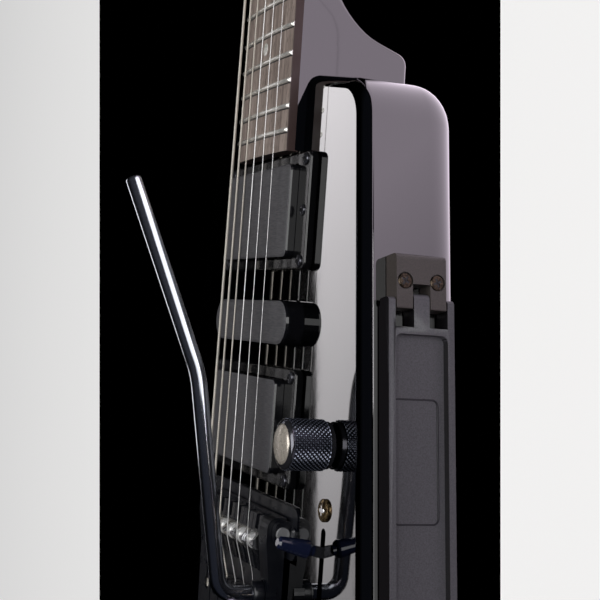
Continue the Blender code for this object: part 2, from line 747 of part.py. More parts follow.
def build_pickups(cover, ring_plastic, screw):
    """Two ringed humbuckers and the single coil between them."""
    places = (
        ("neck", NECK_PICKUP_X, NECK_PICKUP_RISE),
        ("bridge", BRIDGE_PICKUP_X, BRIDGE_PICKUP_RISE),
    )
    for label, x, rise in places:
        outline = rounded_rectangle(RING_WIDTH, RING_LENGTH, RING_CORNER)
        ring = add(label + "_pickup_ring", prism(outline, GAP, RING_HEIGHT), ring_plastic, (x, 0, FACE))
        soften(ring, 0.6, 1)
        window_outline = rounded_rectangle(HUMBUCKER_WIDTH + 2 * RUN, HUMBUCKER_LENGTH + 2 * RUN, COVER_CORNER)
        window = guide(label + "_ring_window", prism(window_outline, -PAST, RING_HEIGHT + PAST), (x, 0, FACE))
        cut(ring, window)
        for i, (dx, dy) in enumerate([(1, 1), (1, -1), (-1, 1), (-1, -1), (0, 1), (0, -1)]):
            head = rod(RING_SCREW_RADIUS, 1.5, RING_HEIGHT + 0.5, sides=10)
            place = (x + dx * RING_SCREW_X, dy * RING_SCREW_Y, FACE)
            fuse(ring, guide("%s_ring_screw_%d" % (label, i), head, place))
        pickup_outline = rounded_rectangle(HUMBUCKER_WIDTH, HUMBUCKER_LENGTH, COVER_CORNER)
        body = prism(pickup_outline, rise - HUMBUCKER_DEPTH, rise)
        pickup = add(label + "_pickup", body, cover, (x, 0, FACE))
        soften(pickup, COVER_EDGE, 2)
    outline = rounded_rectangle(SINGLE_WIDTH, SINGLE_LENGTH, SINGLE_WIDTH / 2 - 0.1, steps=6)
    middle = prism(outline, MIDDLE_PICKUP_RISE - SINGLE_DEPTH, MIDDLE_PICKUP_RISE)
    single = add("middle_pickup", middle, cover, (MIDDLE_PICKUP_X, 0, FACE))
    soften(single, 1.4, 2)


def build_controls(knob_metal, can_metal, steel, tip_plastic, cover_plastic):
    """Two knobs on their pots, the selector with its lever, the jack and the back cover."""
    for label, x in (("volume", VOLUME_X), ("tone", TONE_X)):
        place = (x, CONTROL_Y, FACE)
        top = KNOB_HEIGHT + 0.8
        profile = [
            (KNOB_SHAFT_RADIUS, -SHAFT_DEPTH),
            (KNOB_SHAFT_RADIUS, 3.6),
            (BUSHING_RADIUS + 1.2, 3.6),
            (BUSHING_RADIUS + 1.2, 0.9),
            (KNOB_RADIUS - 0.4, 0.9),
            (KNOB_RADIUS, 1.3),
            (KNOB_RADIUS, KNOB_HEIGHT - 2.4),
            (KNOB_RADIUS - 0.9, KNOB_HEIGHT - 1.6),
            (KNOB_RADIUS - 3.2, KNOB_HEIGHT + 0.2),
            (KNOB_RADIUS - 6.4, top),
        ]
        add(label + "_knob", turned(profile, KNOB_SIDES), knob_metal, place, smooth=35)
        can = [
            (POT_RADIUS, -CAVITY_CEILING - GAP - POT_HEIGHT),
            (POT_RADIUS, -CAVITY_CEILING - GAP),
            (BUSHING_RADIUS, -CAVITY_CEILING - GAP),
            (BUSHING_RADIUS, 3.0),
            (KNOB_SHAFT_RADIUS + RUN, 3.0),
            (KNOB_SHAFT_RADIUS + RUN, -SHAFT_DEPTH - RUN),
            (0.8, -SHAFT_DEPTH - RUN),
            (0.8, -CAVITY_CEILING - GAP - POT_HEIGHT),
        ]
        add(label + "_pot", turned(can, 28, ring_shaped=True), can_metal, place, smooth=35)

    ceiling = -CAVITY_CEILING - GAP
    frame_half = SWITCH_SCREW_PITCH / 2 + 4.0
    plate = block((-frame_half, -5.0, ceiling - 1.6), (frame_half, 5.0, ceiling))
    switch = add("selector_switch", plate, steel, (SWITCH_X, CONTROL_Y, FACE))
    slot = guide("selector_window", block((-14.6, -1.3, -20), (14.6, 1.3, 9)), (SWITCH_X, CONTROL_Y, FACE))
    wafer = block((-16.0, 2.2, -LEVER_PIVOT_DEPTH - 5.0), (16.0, 4.4, ceiling - 0.8))
    bearing = rod(LEVER_PIN_RADIUS, -1.2, 3.2, "Y", 12)
    fuse(switch, guide("selector_wafer", wafer, (SWITCH_X, CONTROL_Y, FACE)))
    fuse(switch, guide("selector_bearing", bearing, (SWITCH_X, CONTROL_Y, FACE - LEVER_PIVOT_DEPTH)))
    cut(switch, slot)
    shank = SWITCH_SCREW_RADIUS
    screw_profile = [(shank, ceiling - 1.0), (shank, GAP), (2 * shank, GAP), (2 * shank, 0.8), (1.8, 1.5)]
    for side in (-1, 1):
        screw = turned(screw_profile, 16)
        place = (SWITCH_X + side * SWITCH_SCREW_PITCH / 2, CONTROL_Y, FACE)
        fuse(switch, guide("selector_screw_%d" % side, screw, place))

    pivot = joint_frame(
        "selector_joint",
        (SWITCH_X, CONTROL_Y, FACE - LEVER_PIVOT_DEPTH),
        (0, math.radians(LEVER_REST_ANGLE), 0),
    )
    reach = LEVER_PIVOT_DEPTH + 4.0
    half = LEVER_WIDTH / 2
    thick = LEVER_THICKNESS / 2
    blade = add("selector_lever", block((-half, -thick, -3.6), (half, thick, reach)), steel, parent=pivot)
    fuse(blade, guide("selector_hub", rod(3.6, -thick, thick, "Y", 20), parent=pivot))
    cut(blade, guide("selector_hub_bore", rod(LEVER_PIN_RADIUS + GAP, -PAST, PAST, "Y", 12), parent=pivot))
    collar = reach + GAP
    profile = [
        (2.0, collar),
        (2.0, collar + 1.5),
        (TIP_BASE_RADIUS - 0.5, collar + 1.7),
        (TIP_BASE_RADIUS, collar + 2.6),
        (TIP_END_RADIUS, collar + TIP_LENGTH),
        (TIP_END_RADIUS - 0.9, collar + TIP_LENGTH + 0.9),
    ]
    add("selector_tip", turned(profile, 20), tip_plastic, parent=pivot, smooth=40)

    jack = [
        (JACK_BORE_RADIUS, -1.8),
        (JACK_FLANGE_RADIUS, -1.8),
        (JACK_FLANGE_RADIUS, -GAP),
        (JACK_RADIUS, -GAP),
        (JACK_RADIUS, JACK_LENGTH + 2.0),
        (0.8, JACK_LENGTH + 2.0),
        (0.8, JACK_LENGTH),
        (JACK_BORE_RADIUS, JACK_LENGTH),
    ]
    add("output_jack", turned(jack, 24, "X", True), can_metal, (TAIL_X, JACK_Y, FACE - JACK_DEPTH), smooth=35)

    add("control_cover", prism(cavity_outline(COVER_LEDGE), GAP, GAP + COVER_THICKNESS), cover_plastic)


def carriage_profile():
    """The cheek seen from the side: a round front corner and a top that falls to the rear."""
    low = FACE + CARRIAGE_FLOOR_RISE
    corners = [
        (CARRIAGE_FRONT_X, low, 0),
        (CARRIAGE_FRONT_X, FACE + CHEEK_FRONT_RISE, 4.0),
        (2.0, FACE + CHEEK_FRONT_RISE, 8.0),
        (ARM_X + 6, FACE + CHEEK_REAR_RISE + 0.6, 8.0),
        (CARRIAGE_REAR_X, FACE + CHEEK_REAR_RISE, 2.0),
        (CARRIAGE_REAR_X, low, 0),
    ]
    return round_corners(corners, 4)


def build_tremolo(cast, steel, spring_steel, chrome):
    """Base plate, tilting carriage, saddles, jaws with their thumb screws, spring and arm."""
    low = FACE + CARRIAGE_FLOOR_RISE
    floor_top = low + CARRIAGE_FLOOR_THICKNESS
    pivot_z = FACE + PIVOT_RISE

    plate_outline = rounded_rectangle(PLATE_LENGTH, PLATE_WIDTH, PLATE_CORNER, (PIVOT_X, 0), 3)
    base = add("trem_base", prism(plate_outline, FACE - PLATE_SINK, FACE + PLATE_STAND), cast)
    ear_rear = PIVOT_X - EAR_LENGTH / 2
    ear_front = PIVOT_X + EAR_LENGTH / 2
    ear_corners = [
        (ear_rear, FACE - EAR_ROOT, 0),
        (ear_rear, FACE + EAR_RISE, EAR_CORNER),
        (ear_front, FACE + EAR_RISE, EAR_CORNER),
        (ear_front, FACE - EAR_ROOT, 0),
    ]
    ear_profile = round_corners(ear_corners, 4)
    for side in (-1, 1):
        near, far = sorted((side * (CHEEK_OUTER + RUN), side * (CHEEK_OUTER + EAR_THICKNESS)))
        fuse(base, guide("base_ear_%d" % side, prism(ear_profile, near, far, "Y")))
        head = turned([(1.6, -0.6), (3.2, 0.1), (2.9, 1.0), (1.6, 1.3)], 14)
        fuse(base, guide("base_screw_%d" % side, head, (PIVOT_X, side * BASE_SCREW_Y, FACE)))
    cut(base, guide("base_bore", rod(PIN_RADIUS + GAP, -FAR, FAR, "Y", 16), (PIVOT_X, 0, pivot_z)))
    for label, side in (("treble", -1), ("bass", 1)):
        ends = (CHEEK_OUTER - 4.0, CHEEK_OUTER + EAR_THICKNESS + GAP, CHEEK_OUTER + EAR_THICKNESS + 1.4)
        profile = [(PIN_RADIUS, side * ends[0]), (PIN_RADIUS, side * ends[1])]
        profile += [(PIN_RADIUS + 0.9, side * ends[1]), (PIN_RADIUS + 0.7, side * ends[2])]
        add("pivot_pin_" + label, turned(profile, 16, "Y"), steel, (PIVOT_X, 0, pivot_z), smooth=40)

    tilt = joint_frame("trem_tilt_joint", (PIVOT_X, 0, pivot_z))
    tilt_at = Vector((PIVOT_X, 0, pivot_z))

    def on_carriage(name, bm, mat, smooth=None):
        return add(name, bm, mat, -tilt_at, parent=tilt, smooth=smooth)

    carriage = on_carriage("trem_carriage", prism(carriage_profile(), -CHEEK_OUTER, CHEEK_OUTER, "Y"), cast)
    trough = block((CARRIAGE_REAR_X + REAR_WALL_THICKNESS, -CHEEK_INNER, floor_top), (FAR, CHEEK_INNER, FACE + FAR))
    cut(carriage, guide("carriage_trough", trough))
    wall = block(
        (CARRIAGE_REAR_X, -CHEEK_INNER + 0.6, low + 0.4),
        (CARRIAGE_REAR_X + REAR_WALL_THICKNESS, CHEEK_INNER - 0.6, FACE + REAR_WALL_RISE),
    )
    fuse(carriage, guide("carriage_rear_wall", wall))
    pitch = SPREAD_AT_BRIDGE / (STRING_COUNT - 1)
    for index in range(STRING_COUNT + 1):
        y = (index - STRING_COUNT / 2) * pitch
        thickness = pitch - JAW_WIDTH - 2 * GAP
        rib = block(
            (JAW_REAR_X - 5.0, y - thickness / 2, floor_top - 0.5),
            (JAW_FRONT_X - 1.0, y + thickness / 2, FACE + JAW_RISE - 2.6),
        )
        fuse(carriage, guide("jaw_rib_%d" % index, rib))
    leg = block(
        (DROP_LEG_X - DROP_LEG_THICKNESS / 2, -DROP_LEG_HALF_WIDTH, SPRING_AXIS_Z - SPRING_RADIUS - 2.0),
        (DROP_LEG_X + DROP_LEG_THICKNESS / 2, DROP_LEG_HALF_WIDTH, low + 0.8),
    )
    fuse(carriage, guide("carriage_drop_leg", leg))
    boss = rod(COLLAR_RADIUS + 0.8, FACE + CHEEK_REAR_RISE - 3.0, FACE + CHEEK_REAR_RISE + 1.4)
    fuse(carriage, guide("arm_boss", boss, (ARM_X, ARM_Y, 0)))
    socket = rod(ARM_RADIUS + GAP, floor_top, FACE + FAR)
    cut(carriage, guide("arm_socket", socket, (ARM_X, ARM_Y, 0)))
    for side in (-1, 1):
        near, far = sorted((side * (CHEEK_OUTER - 4.4), side * FAR))
        bore = rod(PIN_RADIUS + GAP, near, far, "Y", 16)
        cut(carriage, guide("cheek_bore_%d" % side, bore, (PIVOT_X, 0, pivot_z)))

    for index in range(STRING_COUNT):
        build_string_hardware(index, carriage, on_carriage, floor_top, cast, chrome)

    build_spring(spring_steel, steel)
    build_arm(tilt_at, tilt, steel, chrome)


def build_string_hardware(index, carriage, on_carriage, floor_top, cast, chrome):
    """One string's saddle, jaw and thumb screw."""
    number = index + 1
    y = string_y(index, 0)
    radius = STRING_DIAMETERS[index] / 2
    crest = string_z(index, 0) - radius - GAP
    base = floor_top + GAP
    profile = [
        (SADDLE_REAR_X, base),
        (SADDLE_FRONT_X, base),
        (SADDLE_FRONT_X, base + 3.4),
        (4.2, base + 3.9),
        (2.0, crest - 1.1),
        (0.6, crest - 0.1),
        (-0.6, crest),
        (-2.6, crest - 1.6),
        (-4.4, base + 4.6),
        (SADDLE_REAR_X, base + 2.6),
    ]
    shape = prism(profile, y - SADDLE_WIDTH / 2, y + SADDLE_WIDTH / 2, "Y")
    saddle = on_carriage("saddle_%d" % number, shape, chrome)
    fork = block((4.8, y - 1.7, base - 5), (SADDLE_FRONT_X + 5, y + 1.7, base + 9))
    groove = block((SADDLE_REAR_X - 5, y - 1.2, base + 1.6), (-3.4, y + 1.2, base + FAR))
    cut(saddle, guide("saddle_fork_%d" % number, fork), guide("saddle_groove_%d" % number, groove))

    jaw_shape = block((JAW_REAR_X, y - JAW_WIDTH / 2, base), (JAW_FRONT_X, y + JAW_WIDTH / 2, FACE + JAW_RISE))
    jaw = on_carriage("tuner_jaw_%d" % number, jaw_shape, cast)
    ball_floor = jaw_string_z() - BALL_RADIUS - GAP
    slot_half = radius + GAP
    slot = block((JAW_BALL_X, y - slot_half, ball_floor + 1.0), (JAW_FRONT_X + 5, y + slot_half, FACE + FAR))
    pocket = rod(BALL_POCKET_RADIUS, ball_floor, FACE + FAR, sides=12)
    bmesh.ops.translate(pocket, vec=(JAW_BALL_X, y, 0), verts=pocket.verts)
    thread = rod(SCREW_RADIUS + GAP, JAW_REAR_X - 5, JAW_REAR_X + 5.4, "X", 12)
    axis_z = FACE + TUNER_AXIS_RISE
    bmesh.ops.translate(thread, vec=(0, y, axis_z), verts=thread.verts)
    cut(jaw, guide("jaw_slot_%d" % number, slot), guide("jaw_pocket_%d" % number, pocket))
    cut(jaw, guide("jaw_thread_%d" % number, thread))
    hole = rod(SCREW_RADIUS + GAP, CARRIAGE_REAR_X - 5, CARRIAGE_REAR_X + REAR_WALL_THICKNESS + 3, "X", 12)
    bmesh.ops.translate(hole, vec=(0, y, axis_z), verts=hole.verts)
    cut(carriage, guide("rear_wall_hole_%d" % number, hole))

    head = CARRIAGE_REAR_X - GAP
    tip = JAW_REAR_X + 5.4 - JAW_TRAVEL - GAP
    knob = [
        (SCREW_RADIUS, tip),
        (SCREW_RADIUS, head),
        (TUNER_KNOB_RADIUS - 1.2, head),
        (TUNER_KNOB_RADIUS - 1.2, head - 1.8),
        (TUNER_KNOB_RADIUS, head - 2.3),
        (TUNER_KNOB_RADIUS, head - TUNER_KNOB_LENGTH + 0.7),
        (TUNER_KNOB_RADIUS - 0.7, head - TUNER_KNOB_LENGTH),
    ]
    frame = joint_frame("tuner_joint_%d" % number, (-PIVOT_X, y, TUNER_AXIS_RISE - PIVOT_RISE), parent=carriage.parent)
    add("tuner_knob_%d" % number, turned(knob, 20, "X"), cast, parent=frame, smooth=35)


def build_spring(spring_steel, steel):
    """Compression spring between the carriage's drop leg and its thumb-wheel seat."""
    start = DROP_LEG_X - DROP_LEG_THICKNESS / 2 - GAP
    end = SPRING_CAVITY_X0 + 4.0
    dead = SPRING_WIRE * 0.5 + 0.05
    steps_per_turn = 9
    steps = int(SPRING_TURNS * steps_per_turn)
    run = start - end - 2 * dead
    path = []
    for i in range(steps + 1):
        angle = 2 * math.pi * i / steps_per_turn
        x = start - dead - run * i / steps
        path.append((x, SPRING_RADIUS * math.cos(angle), SPRING_AXIS_Z + SPRING_RADIUS * math.sin(angle)))
    pitch = run / SPRING_TURNS
    print("trem_spring: least gap between turns %.2f mm" % (pitch - SPRING_WIRE))
    radii = [SPRING_WIRE / 2] * len(path)
    add("trem_spring", tube(path, radii, 6), spring_steel, smooth=70)
    wall_front = SPRING_CAVITY_X0
    profile = [
        (SPRING_RADIUS + 1.6, end - GAP),
        (SPRING_RADIUS + 1.6, wall_front + GAP),
        (ADJUSTER_RADIUS, wall_front + GAP),
        (ADJUSTER_RADIUS, NOTCH_X - GAP),
        (THUMB_WHEEL_RADIUS, NOTCH_X - GAP),
        (THUMB_WHEEL_RADIUS, NOTCH_X - GAP - THUMB_WHEEL_LENGTH + 0.8),
        (THUMB_WHEEL_RADIUS - 0.8, NOTCH_X - GAP - THUMB_WHEEL_LENGTH),
    ]
    add("spring_adjuster", turned(profile, 24, "X"), steel, (0, 0, SPRING_AXIS_Z), smooth=35)


def arm_path():
    """The arm in its own vertical plane: reach from the shank, height above the face."""
    corners = [
        (0.0, CARRIAGE_FLOOR_RISE + CARRIAGE_FLOOR_THICKNESS + 1.0, 0),
        (0.0, ARM_BEND_RISE, ARM_BEND_RADIUS),
        (ARM_ELBOW_REACH, ARM_ELBOW_RISE, ARM_ELBOW_RADIUS),
        (ARM_REACH, ARM_TIP_RISE, 0),
    ]
    return round_corners(corners, 7)


def build_arm(tilt_at, tilt, steel, chrome):
    """The bent arm, which swivels in a collar on the treble cheek."""
    swivel = joint_frame(
        "trem_arm_joint",
        Vector((ARM_X, ARM_Y, FACE)) - tilt_at,
        (0, 0, math.radians(ARM_ANGLE)),
        tilt,
    )
    points = [(reach, 0.0, rise) for reach, rise in arm_path()]
    radii = [ARM_RADIUS] * len(points)
    last = Vector(points[-1])
    inward = (Vector(points[-2]) - last).normalized() * 0.8
    points.insert(-1, tuple(last + inward))
    radii.insert(-1, ARM_RADIUS)
    radii[-1] = ARM_RADIUS - 0.8
    add("trem_arm", tube(points, radii, 14), chrome, parent=swivel, smooth=50)
    seat = FACE + CHEEK_REAR_RISE + 1.4 + GAP
    bore = ARM_RADIUS + GAP
    profile = [
        (bore, seat),
        (COLLAR_RADIUS, seat),
        (COLLAR_RADIUS, seat + COLLAR_HEIGHT - 0.8),
        (COLLAR_RADIUS - 0.8, seat + COLLAR_HEIGHT),
        (bore, seat + COLLAR_HEIGHT),
    ]
    ring = turned(profile, 20, ring_shaped=True)
    add("arm_collar", ring, steel, Vector((ARM_X, ARM_Y, 0)) - tilt_at, parent=tilt, smooth=35)


def side_frame(name, x):
    """An empty on the treble side face: its X runs along the side, its -Y points outward."""
    return joint_frame(name, (x, -side_half_width(x), FACE - LEG_DEPTH), (0, 0, SIDE_ANGLE))


def build_leg_rest(plastic, steel):
    """Bracket, fold-out leg and the pin between them, on the slanted treble side."""
    side = side_frame("leg_side_frame", LEG_PIN_X)
    stand = -LEG_PIN_STAND
    half = LEG_WIDTH / 2
    eye = circle(LEG_EYE_RADIUS, 20, (0.0, stand))
    outer = stand - LEG_THICKNESS / 2
    inner = stand + LEG_THICKNESS / 2

    nose_outline = round_corners(
        [
            (0.0, inner, 0),
            (0.0, outer, 0),
            (LEG_EYE_RADIUS, outer, 3.0),
            (LEG_EYE_RADIUS, inner, 3.0),
        ],
        5,
    )
    leg_corners = [
        (-LEG_LENGTH, inner, 1.0),
        (-LEG_LENGTH, outer, 5.0),
        (1.0, outer, 0),
        (1.0, inner, 0),
    ]
    leg_profile = round_corners(leg_corners, 4)
    hinge = joint_frame("leg_hinge_joint", (0, stand, 0), parent=side)

    def on_leg(name, bm, mat=None):
        shift = (0, -stand, 0)
        if mat is None:
            return guide(name, bm, shift, parent=hinge)
        return add(name, bm, mat, shift, parent=hinge)

    leg = on_leg("leg_rest", prism(leg_profile, -half, half), plastic)
    fuse(leg, on_leg("leg_nose", prism(nose_outline, -half, half)))
    panel_end = -LEG_LENGTH + 9.0
    bar_front = LEG_BAR_X
    bar_rear = LEG_BAR_X - LEG_BAR_WIDTH
    panel_middle = ((bar_rear + panel_end) / 2, 0)
    panel_outline = rounded_rectangle(bar_rear - panel_end, LEG_WIDTH - 2 * LEG_RAIL, 2.5, panel_middle)
    panel = prism([(x, z) for x, z in panel_outline], outer - PAST, outer + LEG_RECESS, "Y")
    cut(leg, on_leg("leg_panel_recess", panel))
    window_half = half - LEG_RAIL
    tongue = LEG_TONGUE_WIDTH / 2
    for sign in (-1, 1):
        near, far = sorted((sign * tongue, sign * window_half))
        gap_shape = block((bar_front, outer - PAST, near), (LEG_EYE_RADIUS + PAST, inner + PAST, far))
        cut(leg, on_leg("leg_finger_gap_%d" % sign, gap_shape))
    pin_bore = rod(LEG_PIN_RADIUS + GAP, -FAR, FAR, sides=16)
    cut(leg, guide("leg_pin_bore", pin_bore, parent=hinge))
    soften(leg, 0.5, 1, 60)

    bracket_half = BRACKET_WIDTH / 2
    root = -GAP
    face = -BRACKET_STAND
    outline = round_corners(
        [
            (BRACKET_TOP_X, root, 0),
            (BRACKET_TOP_X, face, 3.5),
            (BRACKET_ROOT_X, face, 0),
            (BRACKET_ROOT_X, root, 0),
        ],
        4,
    )
    bracket = add("leg_bracket", prism(outline, -bracket_half, bracket_half), plastic, parent=side)
    finger_inner = tongue + RUN
    finger_outer = min(bracket_half - 0.1, window_half - RUN)
    knuckle = LEG_EYE_RADIUS - 0.4
    finger_profile = round_corners(
        [
            (-knuckle, stand + knuckle, knuckle - 0.1),
            (-knuckle, stand - knuckle, knuckle - 0.1),
            (BRACKET_ROOT_X + 1.5, stand - knuckle, 0),
            (BRACKET_ROOT_X + 1.5, stand + knuckle, 0),
        ],
        5,
    )
    for sign in (-1, 1):
        near, far = sorted((sign * finger_inner, sign * finger_outer))
        fuse(bracket, guide("bracket_finger_%d" % sign, prism(finger_profile, near, far), parent=side))
        head = turned([(2.2, 0.6), (2.5, -0.2), (1.9, -0.7)], 14, "Y")
        place = (BRACKET_SCREW_X, face, sign * BRACKET_SCREW_PITCH / 2)
        fuse(bracket, guide("bracket_screw_%d" % sign, head, place, parent=side))
    bore = rod(LEG_PIN_RADIUS + GAP, -FAR, FAR, sides=16)
    cut(bracket, guide("bracket_pin_bore", bore, (0, stand, 0), parent=side))
    pin = rod(LEG_PIN_RADIUS, -half + 0.2, half - 0.2, sides=16)
    add("leg_pin", pin, steel, (0, stand, 0), parent=side, smooth=40)


def build_strap_buttons(steel):
    """One button on the tail and one on the bass shoulder, each on a flat end face."""
    profile = [
        (BUTTON_NECK_RADIUS + 2.4, GAP),
        (BUTTON_NECK_RADIUS + 1.2, 1.4),
        (BUTTON_NECK_RADIUS, 3.2),
        (BUTTON_NECK_RADIUS, BUTTON_LENGTH - 3.6),
        (BUTTON_RADIUS, BUTTON_LENGTH - 1.6),
        (BUTTON_RADIUS - 0.7, BUTTON_LENGTH),
        (BUTTON_RADIUS - 3.0, BUTTON_LENGTH + 0.5),
    ]
    tail_place = (TAIL_X, BUTTON_Y, BUTTON_Z)
    add("strap_button_tail", turned(profile, 24, "X"), steel, tail_place, (0, 0, math.pi), smooth=35)
    slope = math.atan2(NECK_END_X - SHOULDER_X, SHOULDER_HALF_WIDTH - END_HALF_WIDTH)
    x = NECK_END_X - (BUTTON_Y - 4.0 - END_HALF_WIDTH) * math.tan(slope)
    neck_place = (x, BUTTON_Y - 4.0, BUTTON_Z)
    add("strap_button_neck", turned(profile, 24, "X"), steel, neck_place, (0, 0, slope), smooth=35)


def main():
    """Build every piece of the guitar."""
    paint = make_material("gloss_black_lacquer", (0.006, 0.006, 0.008), 0.08)
    rosewood = make_material("rosewood", (0.09, 0.055, 0.042), 0.55)
    bone = make_material("graphite_nut", (0.02, 0.02, 0.02), 0.4)
    cast = make_material("satin_black_cast", (0.02, 0.022, 0.03), 0.35, 0.7)
    steel = make_material("black_nickel_steel", (0.12, 0.12, 0.14), 0.25, 1.0)
    chrome = make_material("bright_steel", (0.55, 0.55, 0.57), 0.2, 1.0)
    plain = make_material("plain_string_steel", (0.6, 0.6, 0.62), 0.25, 1.0)
    wound = make_material("wound_string_nickel", (0.5, 0.46, 0.4), 0.35, 1.0)
    cover = make_material("satin_pickup_cover", (0.03, 0.03, 0.032), 0.5)
    ring = make_material("gloss_ring_plastic", (0.01, 0.01, 0.011), 0.15)
    dark_plastic = make_material("satin_leg_plastic", (0.05, 0.048, 0.052), 0.5)
    tip = make_material("gloss_tip_plastic", (0.012, 0.014, 0.03), 0.12)

    build_body(paint)
    build_fingerboard(rosewood, steel)
    build_nut_and_headpiece(bone, cast)
    build_strings(plain, wound)
    build_pickups(cover, ring, steel)
    build_controls(steel, chrome, steel, tip, dark_plastic)
    build_tremolo(cast, steel, chrome, chrome)
    build_leg_rest(dark_plastic, steel)
    build_strap_buttons(steel)


clear_scene()
GUIDE_MATERIAL = make_material("guide", (0.5, 0.5, 0.5), 0.8)
main()
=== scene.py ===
"""Headless electric guitar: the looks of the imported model, laid out as a Blender add-on.

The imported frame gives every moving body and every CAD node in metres, lying on its back:
X runs along the strings to the headpiece, Y to the bass side and Z out of the body's face.
"""

import math

import bmesh
import bpy
from mathutils import Matrix, Vector


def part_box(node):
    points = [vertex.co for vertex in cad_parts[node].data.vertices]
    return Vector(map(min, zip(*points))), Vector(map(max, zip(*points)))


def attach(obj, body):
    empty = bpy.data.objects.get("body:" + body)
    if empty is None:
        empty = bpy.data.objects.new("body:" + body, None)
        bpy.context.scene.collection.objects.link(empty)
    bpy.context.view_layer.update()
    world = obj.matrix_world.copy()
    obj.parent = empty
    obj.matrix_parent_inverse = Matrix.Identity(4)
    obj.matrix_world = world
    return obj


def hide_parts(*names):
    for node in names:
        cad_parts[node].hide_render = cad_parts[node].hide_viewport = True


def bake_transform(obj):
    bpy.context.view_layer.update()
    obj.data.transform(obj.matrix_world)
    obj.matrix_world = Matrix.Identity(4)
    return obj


bl_info = {
    "name": "Headless Guitar Finisher",
    "version": (1, 0, 0),
    "blender": (4, 5, 0),
    "location": "View3D > Sidebar > Guitar",
    "description": "Adds lacquer, frets, strings, hardware and a stage to the packed headless guitar",
    "category": "Add Mesh",
}

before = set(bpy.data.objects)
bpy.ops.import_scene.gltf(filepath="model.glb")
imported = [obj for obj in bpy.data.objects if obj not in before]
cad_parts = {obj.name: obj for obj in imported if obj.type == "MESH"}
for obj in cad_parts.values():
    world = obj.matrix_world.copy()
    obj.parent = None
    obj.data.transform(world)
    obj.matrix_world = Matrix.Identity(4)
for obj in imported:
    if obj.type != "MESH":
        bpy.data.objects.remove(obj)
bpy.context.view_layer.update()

MM = 0.001
STRING_DIAMETERS = (0.25, 0.33, 0.43, 0.66, 0.91, 1.17)
STRING_NUMBERS = range(1, 7)
SCALE_LENGTH = 647.7
FRET_COUNT = 24


def node_low(name):
    """The lowest corner of a CAD node, in millimetres."""
    return Vector(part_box(name)[0]) / MM


def node_high(name):
    """The highest corner of a CAD node, in millimetres."""
    return Vector(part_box(name)[1]) / MM


def node_middle(name):
    """The middle of a CAD node, in millimetres."""
    return (node_low(name) + node_high(name)) / 2


# Places that follow from the frame, in millimetres
FACE = node_high("wing_bass").z
BOARD_START = node_low("fingerboard").x
NUT_X = node_low("nut").x
BOARD_HALF_AT_NUT = 21.0
BOARD_TAPER = 0.01442
BOARD_BOTTOM = node_low("fingerboard").z
FINGERBOARD_RADIUS = 356.0
NECK_TOP = BOARD_BOTTOM - 0.3
LACQUER_RISE = 1.6
BODY_END_X = 184.8
SHOULDER_X = 176.0
SIDE_BEND_X = -25.0
TAIL_X = -100.0
BACK_EDGE_RADIUS = 14.0
SPRING_AXIS_Z = FACE - 19.0
JACK_Z = FACE - 16.5
LEG_PIN_X = 95.4
LEG_OUTER = -8.25
LEG_INNER = -0.55
CONTROL_Y = node_middle("volume_knob").y
# Centres along the strings of the pickups, the knobs and the selector's screws
PICKUP_X = {"neck": 129.8, "bridge": 45.6}
MIDDLE_PICKUP_X = 86.0
KNOB_X = (43.2, -46.0)
SELECTOR_SCREW_X = (-21.2, 19.8)
RING_SCREW_Y = 40.8
# Half the body's width at its shoulders, and how much the sides flare along their length
SHOULDER_HALF = 78.9
SIDE_FLARE = 0.157
# Where the square heel starts to turn into the rounded neck, and over what length
HEEL_END_X = 205.0
HEEL_BLEND = 41.0
# Height of the fingerboard's edge over the neck
BOARD_RISE = 5.3
# The strings' spread from first to sixth and their height over the face, at the bridge and at the nut
BRIDGE_SPREAD, NUT_SPREAD = 52.0, 35.0
STRING_HEIGHT = 12.2
STRING_FALL = 1.6
BALL_RADIUS = 1.95
# Radius of a knob's grip, and the levels between which it stands
GRIP_RADIUS = 9.3
GRIP_LOW = FACE + 3.2
GRIP_HIGH = FACE + 17.2
# A pickup's room in the body, its ring and the ring's window, as length and width
PICKUP_ROOM = (38.2, 71.4)
RING_SIZE = (45.9, 91.4)
RING_WINDOW = (37.4, 70.6)
RING_TOP = FACE + 3.7
UPRIGHT = Matrix.Identity(3)


class GuitarSizes(bpy.types.PropertyGroup):
    """Sizes of the fine detail that a maker would change."""

    fret_width: bpy.props.FloatProperty(
        name="Fret width", description="Width of a fret's crown", default=1.9 * MM, unit="LENGTH"
    )
    fret_height: bpy.props.FloatProperty(
        name="Fret height", description="Height of a fret above the board", default=0.95 * MM, unit="LENGTH"
    )
    dot_radius: bpy.props.FloatProperty(
        name="Dot radius", description="Radius of the pearl dots in the board", default=2.6 * MM, unit="LENGTH"
    )
    knurl_pitch: bpy.props.FloatProperty(
        name="Knurl pitch", description="Distance between the diamonds of a knob's grip",
        default=1.7 * MM, unit="LENGTH"
    )
    knurl_depth: bpy.props.FloatProperty(
        name="Knurl depth", description="Depth of the cuts between the diamonds",
        default=0.4 * MM, unit="LENGTH"
    )
    face_edge_radius: bpy.props.FloatProperty(
        name="Face edge radius", description="Rounding of the body's front edge",
        default=5.0 * MM, unit="LENGTH"
    )


class GuitarColours(bpy.types.PropertyGroup):
    """Colours of the main finishes, as linear values."""

    lacquer: bpy.props.FloatVectorProperty(
        name="Lacquer", description="Colour of the body and the neck",
        subtype="COLOR", default=(0.0018, 0.0018, 0.0024)
    )
    board_wood: bpy.props.FloatVectorProperty(
        name="Fingerboard wood", description="Middle tone of the rosewood",
        subtype="COLOR", default=(0.075, 0.05, 0.04)
    )
    floor: bpy.props.FloatVectorProperty(
        name="Floor", description="Colour of the pale floor", subtype="COLOR", default=(0.62, 0.61, 0.6)
    )


